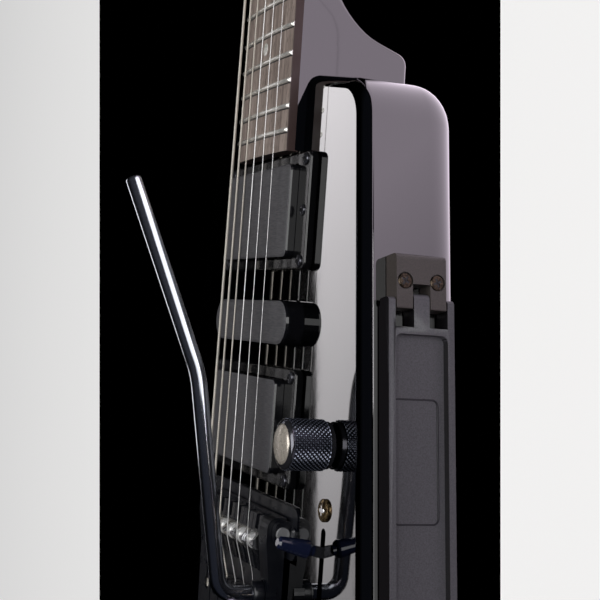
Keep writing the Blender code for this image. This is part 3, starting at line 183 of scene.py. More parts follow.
def linear(code):
    """Turn an sRGB hex code into a linear RGBA value."""
    parts = [int(code[i : i + 2], 16) / 255 for i in (1, 3, 5)]
    values = [c / 12.92 if c <= 0.04045 else ((c + 0.055) / 1.055) ** 2.4 for c in parts]
    return (*values, 1.0)


def add_node(tree, kind, settings=None, feeds=None, **links):
    """Add a node. Links name its input sockets (i0 is the first) with a value or an output to take.

    Where a socket to feed is given, the node's first output goes there.
    """
    new = tree.nodes.new(kind)
    for key, value in (settings or {}).items():
        setattr(new, key, value)
    for key, value in links.items():
        numbered = key[0] == "i" and key[1:].isdigit()
        socket = new.inputs[int(key[1:]) if numbered else key.replace("_", " ")]
        if isinstance(value, bpy.types.NodeSocket):
            tree.links.new(value, socket)
        else:
            socket.default_value = value
    if feeds:
        tree.links.new(new.outputs[0], feeds)
    return new


def start_material(name, base, roughness, metallic=0.0, **sockets):
    """A Principled material with its plain values set on the shader's own sockets."""
    mat = bpy.data.materials.new(name)
    mat.use_nodes = True
    shader = mat.node_tree.nodes["Principled BSDF"]
    shader.inputs["Base Color"].default_value = base
    shader.inputs["Roughness"].default_value = roughness
    shader.inputs["Metallic"].default_value = metallic
    for key, value in sockets.items():
        shader.inputs[key.replace("_", " ")].default_value = value
    mat.diffuse_color = base
    return mat, mat.node_tree, shader


def object_place(tree, scale=(1.0, 1.0, 1.0)):
    """Object coordinates in metres, stretched along each axis."""
    place = add_node(tree, "ShaderNodeTexCoord")
    return add_node(tree, "ShaderNodeMapping", Vector=place.outputs["Object"], Scale=scale).outputs[0]


def noise(tree, size_mm, stretch=(1.0, 1.0, 1.0), detail=3.0):
    """Noise with features of about the given size."""
    where = object_place(tree, tuple(1.0 / s for s in stretch))
    grain = add_node(tree, "ShaderNodeTexNoise", Vector=where, Scale=1.0 / (size_mm * MM), Detail=detail)
    return grain.outputs["Fac"]


def two_tones(tree, factor, first, second, start, end):
    """A colour that turns from one tone to another as a factor rises; each is a hex code or an output."""
    share = add_node(tree, "ShaderNodeMapRange", Value=factor, From_Min=start, From_Max=end).outputs[0]
    first, second = (linear(tone) if isinstance(tone, str) else tone for tone in (first, second))
    return add_node(tree, "ShaderNodeMix", {"data_type": "RGBA"}, i0=share, i6=first, i7=second).outputs[2]


def upward(tree):
    """How far the surface faces out of the guitar's face."""
    facing = add_node(tree, "ShaderNodeTexCoord").outputs["Normal"]
    return add_node(tree, "ShaderNodeSeparateXYZ", Vector=facing).outputs["Z"]


def wear(tree, shader, low, high, size_mm=9.0, stretch=(1.0, 1.0, 1.0), detail=3.0, start=0.35, end=0.65):
    """Let roughness drift a little over the surface, as handling and polishing leave it."""
    drift = noise(tree, size_mm, stretch, detail)
    add_node(
        tree, "ShaderNodeMapRange", feeds=shader.inputs["Roughness"], Value=drift,
        From_Min=start, From_Max=end, To_Min=low, To_Max=high,
    )


def polyester_lacquer(colours):
    """Sprayed, cured and buffed polyester: deep black, mirror-like, with a trace of orange peel."""
    mat, tree, shader = start_material(
        "polyester_lacquer", (*colours.lacquer, 1.0), 0.06,
        IOR=1.75, Coat_Weight=1.0, Coat_Roughness=0.03, Coat_IOR=1.7,
    )
    add_node(
        tree, "ShaderNodeBump", feeds=shader.inputs["Normal"],
        Height=noise(tree, 7.0, detail=1.0), Distance=0.012 * MM,
    )
    wear(tree, shader, 0.025, 0.055, 40.0)
    return mat


def oiled_rosewood(colours):
    """Open-pored rosewood: dark brown on its flanks; its top painted pale as painted sheen, with pale streaks
    and short pores.
    """
    mat, tree, shader = start_material("oiled_rosewood", (*colours.board_wood, 1.0), 0.5, IOR=1.5)
    streaks = noise(tree, 2.2, (26.0, 1.0, 1.0), 6.0)
    # The streaks' pale tones are grain with painted sheen laid over it.
    bands = two_tones(tree, streaks, "#6d5f58", "#a99a91", 0.3, 0.72)
    pores = noise(tree, 0.42, (9.0, 1.0, 1.0), 2.0)
    pored = two_tones(tree, pores, "#3f342f", bands, 0.3, 0.42)
    # Faces turned up get the pale, pored tone as painted sheen; the flanks keep the wood's dark brown.
    tree.links.new(two_tones(tree, upward(tree), "#3c2a27", pored, 0.35, 0.75), shader.inputs["Base Color"])
    add_node(
        tree, "ShaderNodeBump", feeds=shader.inputs["Normal"], Height=pores, Distance=0.06 * MM, Strength=0.7
    )
    wear(tree, shader, 0.42, 0.6)
    return mat


def mother_of_pearl(colours):
    """Polished shell inlay: pale, with soft clouds of pink and green."""
    mat, tree, shader = start_material(
        "mother_of_pearl", linear("#d9d7cf"), 0.2, Coat_Weight=0.6, Coat_Roughness=0.08
    )
    clouds = noise(tree, 1.6, detail=4.0)
    tree.links.new(two_tones(tree, clouds, "#b7bcb2", "#efe7e2", 0.35, 0.65), shader.inputs["Base Color"])
    return mat


def nickel_silver(colours):
    """Rolled and polished fret wire: warm grey metal with fine scratches from the strings."""
    mat, tree, shader = start_material("nickel_silver", linear("#f0ede6"), 0.16, 0.62)
    wear(tree, shader, 0.13, 0.2, 0.5, (8.0, 1.0, 1.0), 4.0, start=0.0, end=1.0)
    return mat


def graphite_nylon(colours):
    """Moulded graphite-filled nut: near black with a dull bloom."""
    mat, tree, shader = start_material("graphite_nylon", linear("#1d1d1e"), 0.42)
    add_node(
        tree, "ShaderNodeBump", feeds=shader.inputs["Normal"], Height=noise(tree, 0.6), Distance=0.02 * MM
    )
    wear(tree, shader, 0.34, 0.5, 3.0)
    return mat


def enamelled_zinc(colours):
    """Die-cast zinc under satin black enamel: soft highlights and a fine cast grain."""
    mat, tree, shader = start_material(
        "enamelled_zinc", linear("#0e1017"), 0.3, 0.25, Coat_Weight=0.35, Coat_Roughness=0.22
    )
    add_node(
        tree, "ShaderNodeBump", feeds=shader.inputs["Normal"],
        Height=noise(tree, 0.55, detail=2.0), Distance=0.012 * MM,
    )
    wear(tree, shader, 0.27, 0.42, 6.0)
    return mat


def knurled_nickel(colours):
    """Knurled grip in black nickel, its diamonds painted bright on their peaks as painted highlights and dark
    in their grooves as painted shade.
    """
    mat, tree, shader = start_material("knurled_nickel", linear("#3b3c44"), 0.26, 0.7)
    highlight_peaks = add_node(tree, "ShaderNodeNewGeometry").outputs["Pointiness"]
    # Pointy peaks are painted bright as painted highlights; the grooves are painted dark as painted shade.
    tone = two_tones(tree, highlight_peaks, "#10121a", "#8c91a2", 0.48, 0.57)
    tree.links.new(tone, shader.inputs["Base Color"])
    return mat


def satin_nickel(colours):
    """Turned end cap in satin nickel, painted a pale warm beige as a painted reflection."""
    # The pale warm tone is a painted reflection of a beige card.
    mat, tree, shader = start_material("satin_nickel", linear("#cdc4b8"), 0.24, 0.5)
    wear(tree, shader, 0.18, 0.32, 3.0)
    return mat


def black_nickel(colours):
    """Turned brass plated in black nickel: smoky mirror with light handling marks."""
    mat, tree, shader = start_material("black_nickel", linear("#5d5d63"), 0.14, 0.85)
    wear(tree, shader, 0.1, 0.24, 5.0)
    return mat


def polished_steel(colours):
    """Ground and polished steel: bright, with fine lines left by the wheel."""
    mat, tree, shader = start_material("polished_steel", linear("#dcdcde"), 0.1, 0.7)
    wear(tree, shader, 0.06, 0.18, 0.35, (1.0, 12.0, 1.0), start=0.0, end=1.0)
    return mat


def saddle_steel(colours):
    """Saddle with black oxide on both ends and a polished hump under the string."""
    mat, tree, shader = start_material("saddle_steel", linear("#17181d"), 0.3)
    place = add_node(tree, "ShaderNodeTexCoord")
    along = add_node(tree, "ShaderNodeSeparateXYZ", Vector=place.outputs["Generated"]).outputs["X"]
    rise, fall = (
        add_node(tree, "ShaderNodeMapRange", Value=along, From_Min=dark, From_Max=bright).outputs[0]
        for dark, bright in ((0.40, 0.41), (0.70, 0.69))
    )
    hump = add_node(tree, "ShaderNodeMath", {"operation": "MULTIPLY"}, i0=rise, i1=fall).outputs[0]
    tree.links.new(two_tones(tree, hump, "#17181d", "#d4d4d6", 0.4, 0.6), shader.inputs["Base Color"])
    tree.links.new(hump, shader.inputs["Metallic"])
    wear(tree, shader, 0.1, 0.3, 1.2, start=0.0, end=1.0)
    return mat


def tumbled_steel(colours):
    """Turned and tumbled saddle rollers: pale, soft-edged and almost white in the light."""
    mat, tree, shader = start_material("tumbled_steel", linear("#f0efee"), 0.22, 0.45)
    wear(tree, shader, 0.16, 0.3, 1.5)
    return mat


def plain_steel_wire(colours):
    """Drawn and tinned music wire: bright and nearly smooth."""
    mat, tree, shader = start_material("plain_steel_wire", linear("#e6e5e4"), 0.2, 0.4)
    wear(tree, shader, 0.14, 0.3, 12.0)
    return mat


def wound_nickel_wire(colours):
    """Nickel wrap wire, its turns drawn at 0.8 mm so that they show: warmer and finely ribbed."""
    mat, tree, shader = start_material("wound_nickel_wire", linear("#d8d1c6"), 0.3, 0.45)
    turns = add_node(
        tree, "ShaderNodeTexWave", {"wave_type": "BANDS", "bands_direction": "X"},
        Vector=object_place(tree), Scale=0.314 / (0.8 * MM), Distortion=0.0,
    ).outputs["Fac"]
    add_node(
        tree, "ShaderNodeBump", feeds=shader.inputs["Normal"], Height=turns, Distance=0.12 * MM, Strength=0.8
    )
    return mat


def satin_abs(colours):
    """Moulded black ABS pickup cover: its top painted a brushed, dull grey as painted light, over polished
    black sides.
    """
    mat, tree, shader = start_material("satin_abs", linear("#2a2a2c"), 0.42)
    top = upward(tree)
    brushed = noise(tree, 0.3, (1.0, 14.0, 1.0), 3.0)
    streaks = two_tones(tree, brushed, "#3a393c", "#5a595c", 0.3, 0.7)
    # Top faces are painted grey as painted light; the sides keep the cover's own black.
    tree.links.new(two_tones(tree, top, "#0f0f12", streaks, 0.82, 0.9), shader.inputs["Base Color"])
    add_node(
        tree, "ShaderNodeMapRange", feeds=shader.inputs["Roughness"], Value=top,
        From_Min=0.82, From_Max=0.9, To_Min=0.14, To_Max=0.46,
    )
    add_node(tree, "ShaderNodeBump", feeds=shader.inputs["Normal"], Height=brushed, Distance=0.01 * MM)
    return mat


def gloss_abs(colours):
    """Moulded and polished ABS frame: deep black with a sharp highlight on each edge."""
    mat, tree, shader = start_material("gloss_abs", linear("#0d0d0e"), 0.12, IOR=1.54)
    wear(tree, shader, 0.09, 0.2, 10.0)
    return mat


def glass_filled_nylon(colours):
    """Moulded glass-filled nylon: grey and slightly grainy outside; its sides that face out of the guitar's
    face are painted darker as painted shade, and polished.
    """
    mat, tree, shader = start_material("glass_filled_nylon", linear("#565459"), 0.46)
    grain = noise(tree, 0.5, detail=3.0)
    top = upward(tree)
    moulded = two_tones(tree, grain, "#4e4c51", "#5e5c62", 0.35, 0.65)
    # Faces turned out of the guitar's face are painted dark: painted shade.
    tree.links.new(two_tones(tree, top, moulded, "#1a181a", 0.6, 0.8), shader.inputs["Base Color"])
    add_node(
        tree, "ShaderNodeMapRange", feeds=shader.inputs["Roughness"], Value=top,
        From_Min=0.6, From_Max=0.8, To_Min=0.47, To_Max=0.13,
    )
    add_node(tree, "ShaderNodeBump", feeds=shader.inputs["Normal"], Height=grain, Distance=0.012 * MM)
    return mat


def brown_nylon(colours):
    """The bracket's nylon, from another batch: darker and a little brown."""
    mat, tree, shader = start_material("brown_nylon", linear("#453f3d"), 0.42)
    grain = noise(tree, 0.5, detail=3.0)
    tree.links.new(two_tones(tree, grain, "#3f3a38", "#4c4643", 0.35, 0.65), shader.inputs["Base Color"])
    add_node(tree, "ShaderNodeBump", feeds=shader.inputs["Normal"], Height=grain, Distance=0.012 * MM)
    return mat


def chromed_rod(colours):
    """Bright chrome on bent steel rod, with a faint haze from handling."""
    mat, tree, shader = start_material("chromed_rod", linear("#c3c6d0"), 0.16, 0.93)
    wear(tree, shader, 0.12, 0.2, 16.0)
    return mat


def brass_screw(colours):
    """Slotted brass showing through worn black: a brown and gold screw head."""
    mat, tree, shader = start_material("brass_screw", linear("#8a6f4a"), 0.25, 0.85)
    rub = noise(tree, 1.1, detail=3.0)
    tree.links.new(two_tones(tree, rub, "#4a3a28", "#b39a70", 0.4, 0.62), shader.inputs["Base Color"])
    return mat


def phenolic_resin(colours):
    """Turned phenolic switch tip: blue-black and highly polished."""
    mat, tree, shader = start_material(
        "phenolic_resin", linear("#181d33"), 0.08, Coat_Weight=0.7, Coat_Roughness=0.04
    )
    wear(tree, shader, 0.06, 0.14, 2.0)
    return mat


def blackened_steel(colours):
    """Screw heads in chemical black: brownish where a driver has rubbed the finish."""
    mat, tree, shader = start_material("blackened_steel", linear("#4a4138"), 0.3, 1.0)
    rub = noise(tree, 0.8, detail=3.0)
    tree.links.new(two_tones(tree, rub, "#2b2621", "#5d5144", 0.4, 0.7), shader.inputs["Base Color"])
    return mat


def spring_wire(colours):
    """Cold-drawn spring wire: grey with a light oil film."""
    mat, tree, shader = start_material("spring_wire", linear("#8d8d90"), 0.28, 1.0)
    wear(tree, shader, 0.22, 0.36, 4.0)
    return mat


# Each finish with the record's slot that it belongs to
FINISHES = {
    "lacquer": (polyester_lacquer, "gloss_black_lacquer"),
    "rosewood": (oiled_rosewood, "rosewood"),
    "pearl": (mother_of_pearl, "rosewood"),
    "fret": (nickel_silver, "rosewood"),
    "graphite": (graphite_nylon, "graphite_nut"),
    "zinc": (enamelled_zinc, "satin_black_cast"),
    "black_nickel": (black_nickel, "black_nickel_steel"),
    "knurl": (knurled_nickel, "black_nickel_steel"),
    "cap": (satin_nickel, "black_nickel_steel"),
    "bright": (polished_steel, "bright_steel"),
    "saddle": (saddle_steel, "bright_steel"),
    "roller": (tumbled_steel, "bright_steel"),
    "plain_wire": (plain_steel_wire, "plain_string_steel"),
    "wound_wire": (wound_nickel_wire, "wound_string_nickel"),
    "cover": (satin_abs, "satin_pickup_cover"),
    "ring": (gloss_abs, "gloss_ring_plastic"),
    "nylon": (glass_filled_nylon, "satin_leg_plastic"),
    "brown_nylon": (brown_nylon, "satin_leg_plastic"),
    "chrome": (chromed_rod, "bright_steel"),
    "brass": (brass_screw, "black_nickel_steel"),
    "resin": (phenolic_resin, "gloss_tip_plastic"),
    "screw": (blackened_steel, "black_nickel_steel"),
    "spring": (spring_wire, "bright_steel"),
}


def finish(name):
    """The material of a finish, made once."""
    maker = FINISHES[name][0]
    return bpy.data.materials.get(maker.__name__) or maker(bpy.context.scene.guitar_colours)


def skin(rings, caps=True):
    """Join rings of points into one closed form, in millimetres."""
    bm = bmesh.new()
    loops = [[bm.verts.new(point) for point in ring] for ring in rings]
    pairs = list(zip(loops, loops[1:]))
    if not caps:
        pairs.append((loops[-1], loops[0]))
    count = len(loops[0])
    for first, second in pairs:
        for i in range(count):
            j = (i + 1) % count
            bm.faces.new((first[i], first[j], second[j], second[i]))
    if caps:
        bm.faces.new(loops[0])
        bm.faces.new(loops[-1])
    bmesh.ops.recalc_face_normals(bm, faces=bm.faces)
    return bm


def on_axis(axis, across, along):
    """Place a flat point (a, b) at a distance along the named axis."""
    a, b = across
    return {"X": (along, a, b), "Y": (a, along, b), "Z": (a, b, along)}[axis]


def prism(outline, low, high, axis="Z"):
    """A straight form with the given outline between two levels of an axis."""
    return skin([[on_axis(axis, point, level) for point in outline] for level in (low, high)])


def block(low, high):
    """A box between its lowest and its highest corner."""
    (x0, y0, z0), (x1, y1, z1) = low, high
    return prism([(x0, y0), (x1, y0), (x1, y1), (x0, y1)], z0, z1)


def circle(radius, sides, centre=(0.0, 0.0)):
    """The points of a circle."""
    steps = [2 * math.pi * i / sides for i in range(sides)]
    return [(centre[0] + radius * math.cos(a), centre[1] + radius * math.sin(a)) for a in steps]


def turned(profile, sides=64, axis="Z", caps=True):
    """Revolve (radius, height) points round an axis."""
    return skin([[on_axis(axis, point, h) for point in circle(r, sides)] for r, h in profile], caps)


def round_corners(corners, steps=10):
    """Replace each (x, y, radius) corner of an outline by an arc."""
    points = []
    count = len(corners)
    for i, (x, y, radius) in enumerate(corners):
        here = Vector((x, y))
        if radius <= 0:
            points.append((x, y))
            continue
        back = (Vector(corners[i - 1][:2]) - here).normalized()
        ahead = (Vector(corners[(i + 1) % count][:2]) - here).normalized()
        half = back.angle(ahead) / 2
        centre = here + (back + ahead).normalized() * (radius / math.sin(half))
        start = here + back * (radius / math.tan(half)) - centre
        end = here + ahead * (radius / math.tan(half)) - centre
        sweep = start.angle_signed(end)
        for k in range(steps + 1):
            spoke = start.copy()
            spoke.rotate(Matrix.Rotation(-sweep * k / steps, 2))
            points.append(tuple(centre + spoke))
    return points


def rounded_rectangle(length, width, radius, centre=(0.0, 0.0), steps=8):
    """A rectangle with round corners."""
    a, b = length / 2, width / 2
    corners = [(-a, -b), (a, -b), (a, b), (-a, b)]
    return round_corners([(centre[0] + x, centre[1] + y, radius) for x, y in corners], steps)


def tube(path, radii, sides=24):
    """A closed tube along a path; each point has its own radius."""
    points = [Vector(p) for p in path]
    rings = []
    side = None
    for i, point in enumerate(points):
        along = (points[min(i + 1, len(points) - 1)] - points[max(i - 1, 0)]).normalized()
        side = along.orthogonal() if side is None else side - along * side.dot(along)
        side.normalize()
        up = along.cross(side)
        rings.append([point + side * a + up * b for a, b in circle(radii[i], sides)])
    return skin(rings)


def moved(bm, by=(0.0, 0.0, 0.0), turn=None):
    """Turn a form about the origin, then shift it, in millimetres."""
    if turn is not None:
        bmesh.ops.rotate(bm, cent=(0, 0, 0), matrix=turn, verts=bm.verts)
    bmesh.ops.translate(bm, vec=by, verts=bm.verts)
    return bm


def merged(*forms):
    """Put several forms into one mesh."""
    whole = bmesh.new()
    for bm in forms:
        part = bpy.data.meshes.new("part")
        bm.to_mesh(part)
        bm.free()
        whole.from_mesh(part)
        bpy.data.meshes.remove(part)
    return whole


def make(name, bm, smooth=35.0):
    """Make an object in metres from a form in millimetres."""
    bmesh.ops.scale(bm, vec=(MM, MM, MM), verts=bm.verts)
    mesh = bpy.data.meshes.new(name)
    bm.to_mesh(mesh)
    bm.free()
    mesh.shade_smooth()
    mesh.set_sharp_from_angle(angle=math.radians(smooth))
    obj = bpy.data.objects.new(name, mesh)
    bpy.context.scene.collection.objects.link(obj)
    return obj


def soften(obj, width, segments=4, angle=35.0, even=True):
    """Round an object's sharp edges, and keep its flat faces flat in the light."""
    bevel = obj.modifiers.new("Rounded edges", "BEVEL")
    bevel.width = width * MM
    bevel.segments = segments
    bevel.limit_method = "ANGLE"
    bevel.angle_limit = math.radians(angle)
    if even:
        flatten_light(obj)


def flatten_light(obj):
    """Weigh the normals by face area."""
    weighted = obj.modifiers.new("Even light", "WEIGHTED_NORMAL")
    weighted.keep_sharp = True
    weighted.weight = 90


def bake(obj):
    """Apply an object's modifiers."""
    depsgraph = bpy.context.evaluated_depsgraph_get()
    old = obj.data
    obj.data = bpy.data.meshes.new_from_object(obj.evaluated_get(depsgraph))
    obj.modifiers.clear()
    bpy.data.meshes.remove(old)


def carve(obj, forms, operation="DIFFERENCE"):
    """Cut forms out of an object, or add them to it."""
    helpers = [make("cutter_%d" % i, bm) for i, bm in enumerate(forms)]
    for helper in helpers:
        modifier = obj.modifiers.new("Cut", "BOOLEAN")
        modifier.operation = operation
        modifier.solver = "EXACT"
        modifier.object = helper
    bake(obj)
    for helper in helpers:
        bpy.data.objects.remove(helper, do_unlink=True)
    if not obj.data.polygons:
        raise RuntimeError("Nothing is left of %s" % obj.name)


def dress(obj, look, body="body", stands_for=()):
    """Give a piece its finish and let it ride on a body, in place of CAD nodes where named."""
    obj.data.materials.clear()
    obj.data.materials.append(finish(look))
    if body:
        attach(obj, body)
    if stands_for:
        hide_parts(*stands_for)
    return obj


def piece(name, bm, look, body="body", smooth=35.0, stands_for=()):
    """Make, finish and place one piece."""
    return dress(make(name, bm, smooth), look, body, stands_for)


def repaint(node, look, edge=0.0):
    """Give a CAD node its finish, and round its edges where a radius is given."""
    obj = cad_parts[node]
    for material_slot in obj.material_slots:
        material_slot.material = finish(look)
    if edge:
        soften(obj, edge, 3)
    return obj


def side_half_width(x):
    """Half the body's width along its straight, flared sides."""
    return SHOULDER_HALF + SIDE_FLARE * (SHOULDER_X - x)


def board_half_width(x):
    """Half the fingerboard's width, which grows from the nut on."""
    return BOARD_HALF_AT_NUT + BOARD_TAPER * (NUT_X - x)


def fret_x(number):
    """The place of a fret along the scale."""
    return SCALE_LENGTH * 2 ** (-number / 12)


def string_y(number, x):
    """A string's place across the guitar; string 1 is the treble one, on the -Y side."""
    spread = BRIDGE_SPREAD - (BRIDGE_SPREAD - NUT_SPREAD) * x / SCALE_LENGTH
    return spread * ((number - 1) / 5 - 0.5)


def string_z(number, x):
    """A string's height; the strings lie on an arch like the fingerboard's."""
    rise = STRING_HEIGHT - STRING_FALL * x / SCALE_LENGTH
    return FACE + rise - string_y(number, x) ** 2 / (2 * FINGERBOARD_RADIUS)


def body_outline(steps):
    """The body seen from the front: flared sides, round shoulders and a square tail."""
    half = [
        (BODY_END_X, 31.0, 20.0),
        (SHOULDER_X, side_half_width(SHOULDER_X), 19.0),
        (SIDE_BEND_X, side_half_width(SIDE_BEND_X), 60.0),
        (TAIL_X, side_half_width(SIDE_BEND_X) + 0.4, 26.0),
    ]
    return round_corners(half + [(x, -y, r) for x, y, r in reversed(half)], steps)


def cavity_outline(grow):
    """The control room from the back; its outer edge runs beside the body's rounded back edge."""
    inset = BACK_EDGE_RADIUS + 4.0 - grow
    front_x = 58.0 + grow
    rear_x = -72.0 - grow
    inner = -57.5 + grow
    radius = 6.0 + grow
    bend = inset - side_half_width(SIDE_BEND_X)
    corners = [
        (rear_x, inner, radius),
        (front_x, inner, radius),
        (front_x, inset - side_half_width(front_x), radius),
        (SIDE_BEND_X, bend, 0),
        (rear_x, bend, radius),
    ]
    return round_corners(corners, 10)


def body_rooms():
    """Every room, recess and hole in the body, in millimetres."""
    past = FACE + 9.0
    rooms = []
    for x in PICKUP_X.values():
        rooms.append(prism(rounded_rectangle(*PICKUP_ROOM, 2.6, (x, 0)), FACE - 18.5, past))
    rooms.append(prism(rounded_rectangle(18.6, 83.8, 8.9, (MIDDLE_PICKUP_X, 0), 14), FACE - 15.2, past))
    rooms.append(block((-48.0, -42.5, FACE - 6.0), (3.0, 42.5, past)))
    rooms.append(block((-5.0, -50.5, FACE - 1.5), (17.0, 50.5, past)))
    rooms.append(block((-40.0, -12.0, FACE - 31.0), (1.0, 12.0, past)))
    rooms.append(prism(rounded_rectangle(93.0, 74.0, 6.0, (-93.5, 0)), -9.0, past))
    rooms.append(moved(turned([(3.3, -38.0), (3.3, -49.0)], 32, "X"), (0, 0, SPRING_AXIS_Z)))
    rooms.append(prism(cavity_outline(0.0), -9.0, FACE - 5.5))
    rooms.append(prism(cavity_outline(3.7), -9.0, 2.5))
    for x in KNOB_X:
        rooms.append(moved(turned([(4.8, FACE - 12), (4.8, past)], 32), (x, CONTROL_Y, 0)))
    rooms.append(prism(rounded_rectangle(28.0, 4.0, 1.9, (-0.7, CONTROL_Y)), FACE - 12, past))
    for x in SELECTOR_SCREW_X:
        rooms.append(moved(turned([(1.8, FACE - 12), (1.8, past)], 24), (x, CONTROL_Y, 0)))
    rooms.append(moved(turned([(6.2, -109.0), (6.2, -70.0)], 32, "X"), (0, -66.0, JACK_Z)))
    return rooms


def back_profile(steps):
    """The back of the heel and neck from the side: flat, a short corner, then a hollow ramp."""
    corners = [
        (BOARD_START + 0.4, 0.02, 0),
        (196.3, 0.02, 5.0),
        (208.1, NECK_TOP - 13.8, 28.0),
        (246.0, NECK_TOP - 13.8, 0),
        (node_high("nut").x, NECK_TOP - 12.7, 0),
    ]
    points = round_corners(corners, steps)
    last, end = Vector(points[-2]), Vector(points[-1])
    between = [tuple(last.lerp(end, i / 12)) for i in range(1, 12)]
    ramp_end = Vector(points[-3])
    blend = [tuple(ramp_end.lerp(last, i / 10)) for i in range(1, 10)]
    return points[:-2] + blend + [points[-2]] + between + [points[-1]]


def neck_form():
    """The square heel turns into the rounded neck within about forty millimetres."""
    rings = []
    top = NECK_TOP + LACQUER_RISE
    for x, back_z in back_profile(10):
        share = min(max((x - HEEL_END_X) / HEEL_BLEND, 0.0), 1.0)
        share = share * share * (3 - 2 * share)
        top_half = board_half_width(x) + 0.05
        flank_half = top_half + 0.12 * (NECK_TOP - back_z)
        back_half = flank_half + (top_half - 1.0 - flank_half) * share
        radius = 1.8 + 10.2 * share
        corners = [
            (-top_half, top, 0),
            (-back_half, back_z, radius),
            (back_half, back_z, radius),
            (top_half, top, 0),
        ]
        rings.append([(x, y, z) for y, z in round_corners(corners, 14)])
    return skin(rings)


def exclude(collection, obj):
    """Keep an object out of the light that uses the named collection."""
    outside = bpy.data.collections[collection]
    outside.objects.link(obj)
    outside.collection_objects[-1].light_linking.link_state = "EXCLUDE"


def body_block(sizes):
    """The body's full depth: a small round on the face's edge and a large one on the back's."""
    bm = prism(body_outline(16), 0.0, FACE)
    for level, radius, steps in ((FACE, sizes.face_edge_radius / MM, 8), (0.0, BACK_EDGE_RADIUS, 12)):
        rim = [edge for edge in bm.edges if all(abs(vert.co.z - level) < 1e-6 for vert in edge.verts)]
        bmesh.ops.bevel(bm, geom=rim, offset=radius, segments=steps, profile=0.5, affect="EDGES")
    return bm


def build_body(sizes):
    """One lacquered form for the core, the wings and the neck, with every room cut in it."""
    body = make("painted_body", body_block(sizes))
    tenon = block((NUT_X, -17, NECK_TOP - 11), (NUT_X + 27.5, 17, NECK_TOP))
    carve(body, [neck_form()], "UNION")
    carve(body, [tenon], "UNION")
    carve(body, body_rooms())
    body.data.shade_smooth()
    body.data.set_sharp_from_angle(angle=math.radians(32))
    flatten_light(body)
    dress(body, "lacquer", "body", ("neck_blank", "wing_treble", "wing_bass"))
    exclude("lacquer_outside_softboxes", body)
    repaint("truss_rod", "spring")
    repaint("control_cover", "nylon", 0.4)


def board_ring(x):
    """The arched board's section, with its upper edges rolled."""
    half = board_half_width(x)
    crown = half**2 / (2 * FINGERBOARD_RADIUS)
    top = NECK_TOP + BOARD_RISE + crown
    ring = [(x, -half, BOARD_BOTTOM), (x, -half, top - crown - 0.7), (x, -half + 0.2, top - crown - 0.2)]
    for i in range(1, 16):
        y = (half - 0.2) * (2 * i / 16 - 1)
        ring.append((x, y, top - y**2 / (2 * FINGERBOARD_RADIUS)))
    ring += [(x, half - 0.2, top - crown - 0.2), (x, half, top - crown - 0.7), (x, half, BOARD_BOTTOM)]
    return ring


def board_top(x, y):
    """The height of the fingerboard's arch."""
    half = board_half_width(x)
    return NECK_TOP + BOARD_RISE + (half**2 - y**2) / (2 * FINGERBOARD_RADIUS)


def fret_form(x, width, height):
    """One crowned fret, its ends bevelled back from the board's edge."""
    half = board_half_width(x)
    rings = []
    stations = [(-half + 0.15, 0.15), (-half + 0.55, 0.8), (-half + 0.95, 1.0)]
    stations += [(half * (i / 5 - 1) * 0.93, 1.0) for i in range(1, 10)]
    stations += [(-y, share) for y, share in reversed(stations[:3])]
    for y, share in stations:
        base = board_top(x, y) - 0.25
        ring = []
        for k in range(11):
            angle = math.pi * k / 10
            crown = height * share * math.sin(angle) ** 0.8
            ring.append((x - width / 2 * math.cos(angle), y, base + 0.25 + crown))
        ring.append((x + width / 2, y, base))
        ring.append((x - width / 2, y, base))
        rings.append(ring)
    return skin(rings)


def dot_places():
    """Single dots, and a pair at the twelfth fret."""
    for number in (3, 5, 7, 9, 15, 17, 19, 21):
        yield (fret_x(number) + fret_x(number - 1)) / 2, 0.0
    x = (fret_x(12) + fret_x(11)) / 2
    yield x, -11.0
    yield x, 11.0


def build_fingerboard(sizes):
    """Rosewood board, crowned frets and pearl dots in place of the plain board."""
    count = 40
    end = node_high("fingerboard").x
    rings = [board_ring(BOARD_START + (end - BOARD_START) * i / count) for i in range(count + 1)]
    board = piece("board_wood", skin(rings), "rosewood", smooth=30, stands_for=("fingerboard",))
    flatten_light(board)
    width = sizes.fret_width / MM
    height = sizes.fret_height / MM
    frets = merged(*[fret_form(fret_x(n), width, height) for n in range(1, FRET_COUNT + 1)])
    piece("frets", frets, "fret", smooth=50)
    # Dark strips beside each fret's lower side: painted shadow lines.
    gaps = []
    for n in range(1, FRET_COUNT + 1):
        x = fret_x(n) - width / 2 - 0.2
        half = board_half_width(x) - 0.3
        ring = [(half * (i / 6 - 1), board_top(x, half * (i / 6 - 1)) + 0.03) for i in range(13)]
        deep = [(y, z - 0.6) for y, z in reversed(ring)]
        gaps.append(skin([[(x + dx, y, z) for y, z in ring + deep] for dx in (-0.22, 0.25)]))
    piece("fret_shadow_strips", merged(*gaps), "graphite", smooth=30)
    radius = sizes.dot_radius / MM
    dots = []
    for x, y in dot_places():
        top = board_top(x, y)
        dots.append(moved(turned([(radius, -1.0), (radius, 0.03), (radius - 0.1, 0.05)], 32), (x, y, top)))
    piece("board_dots", merged(*dots), "pearl", smooth=30)
    side_dots = []
    for number in (3, 5, 7, 9, 12, 15, 17, 19, 21, 24):
        x = (fret_x(number) + fret_x(number - 1)) / 2
        dot = turned([(0.9, -0.6), (0.9, 0.02)], 20, "Y")
        side_dots.append(moved(dot, (x, board_half_width(x), BOARD_BOTTOM + 3.2)))
    piece("side_dots", merged(*side_dots), "pearl", smooth=30)


def build_head():
    """Nut and headpiece keep their CAD forms, with rounded edges."""
    repaint("nut", "graphite", 0.25)
    repaint("headpiece", "zinc", 0.9)


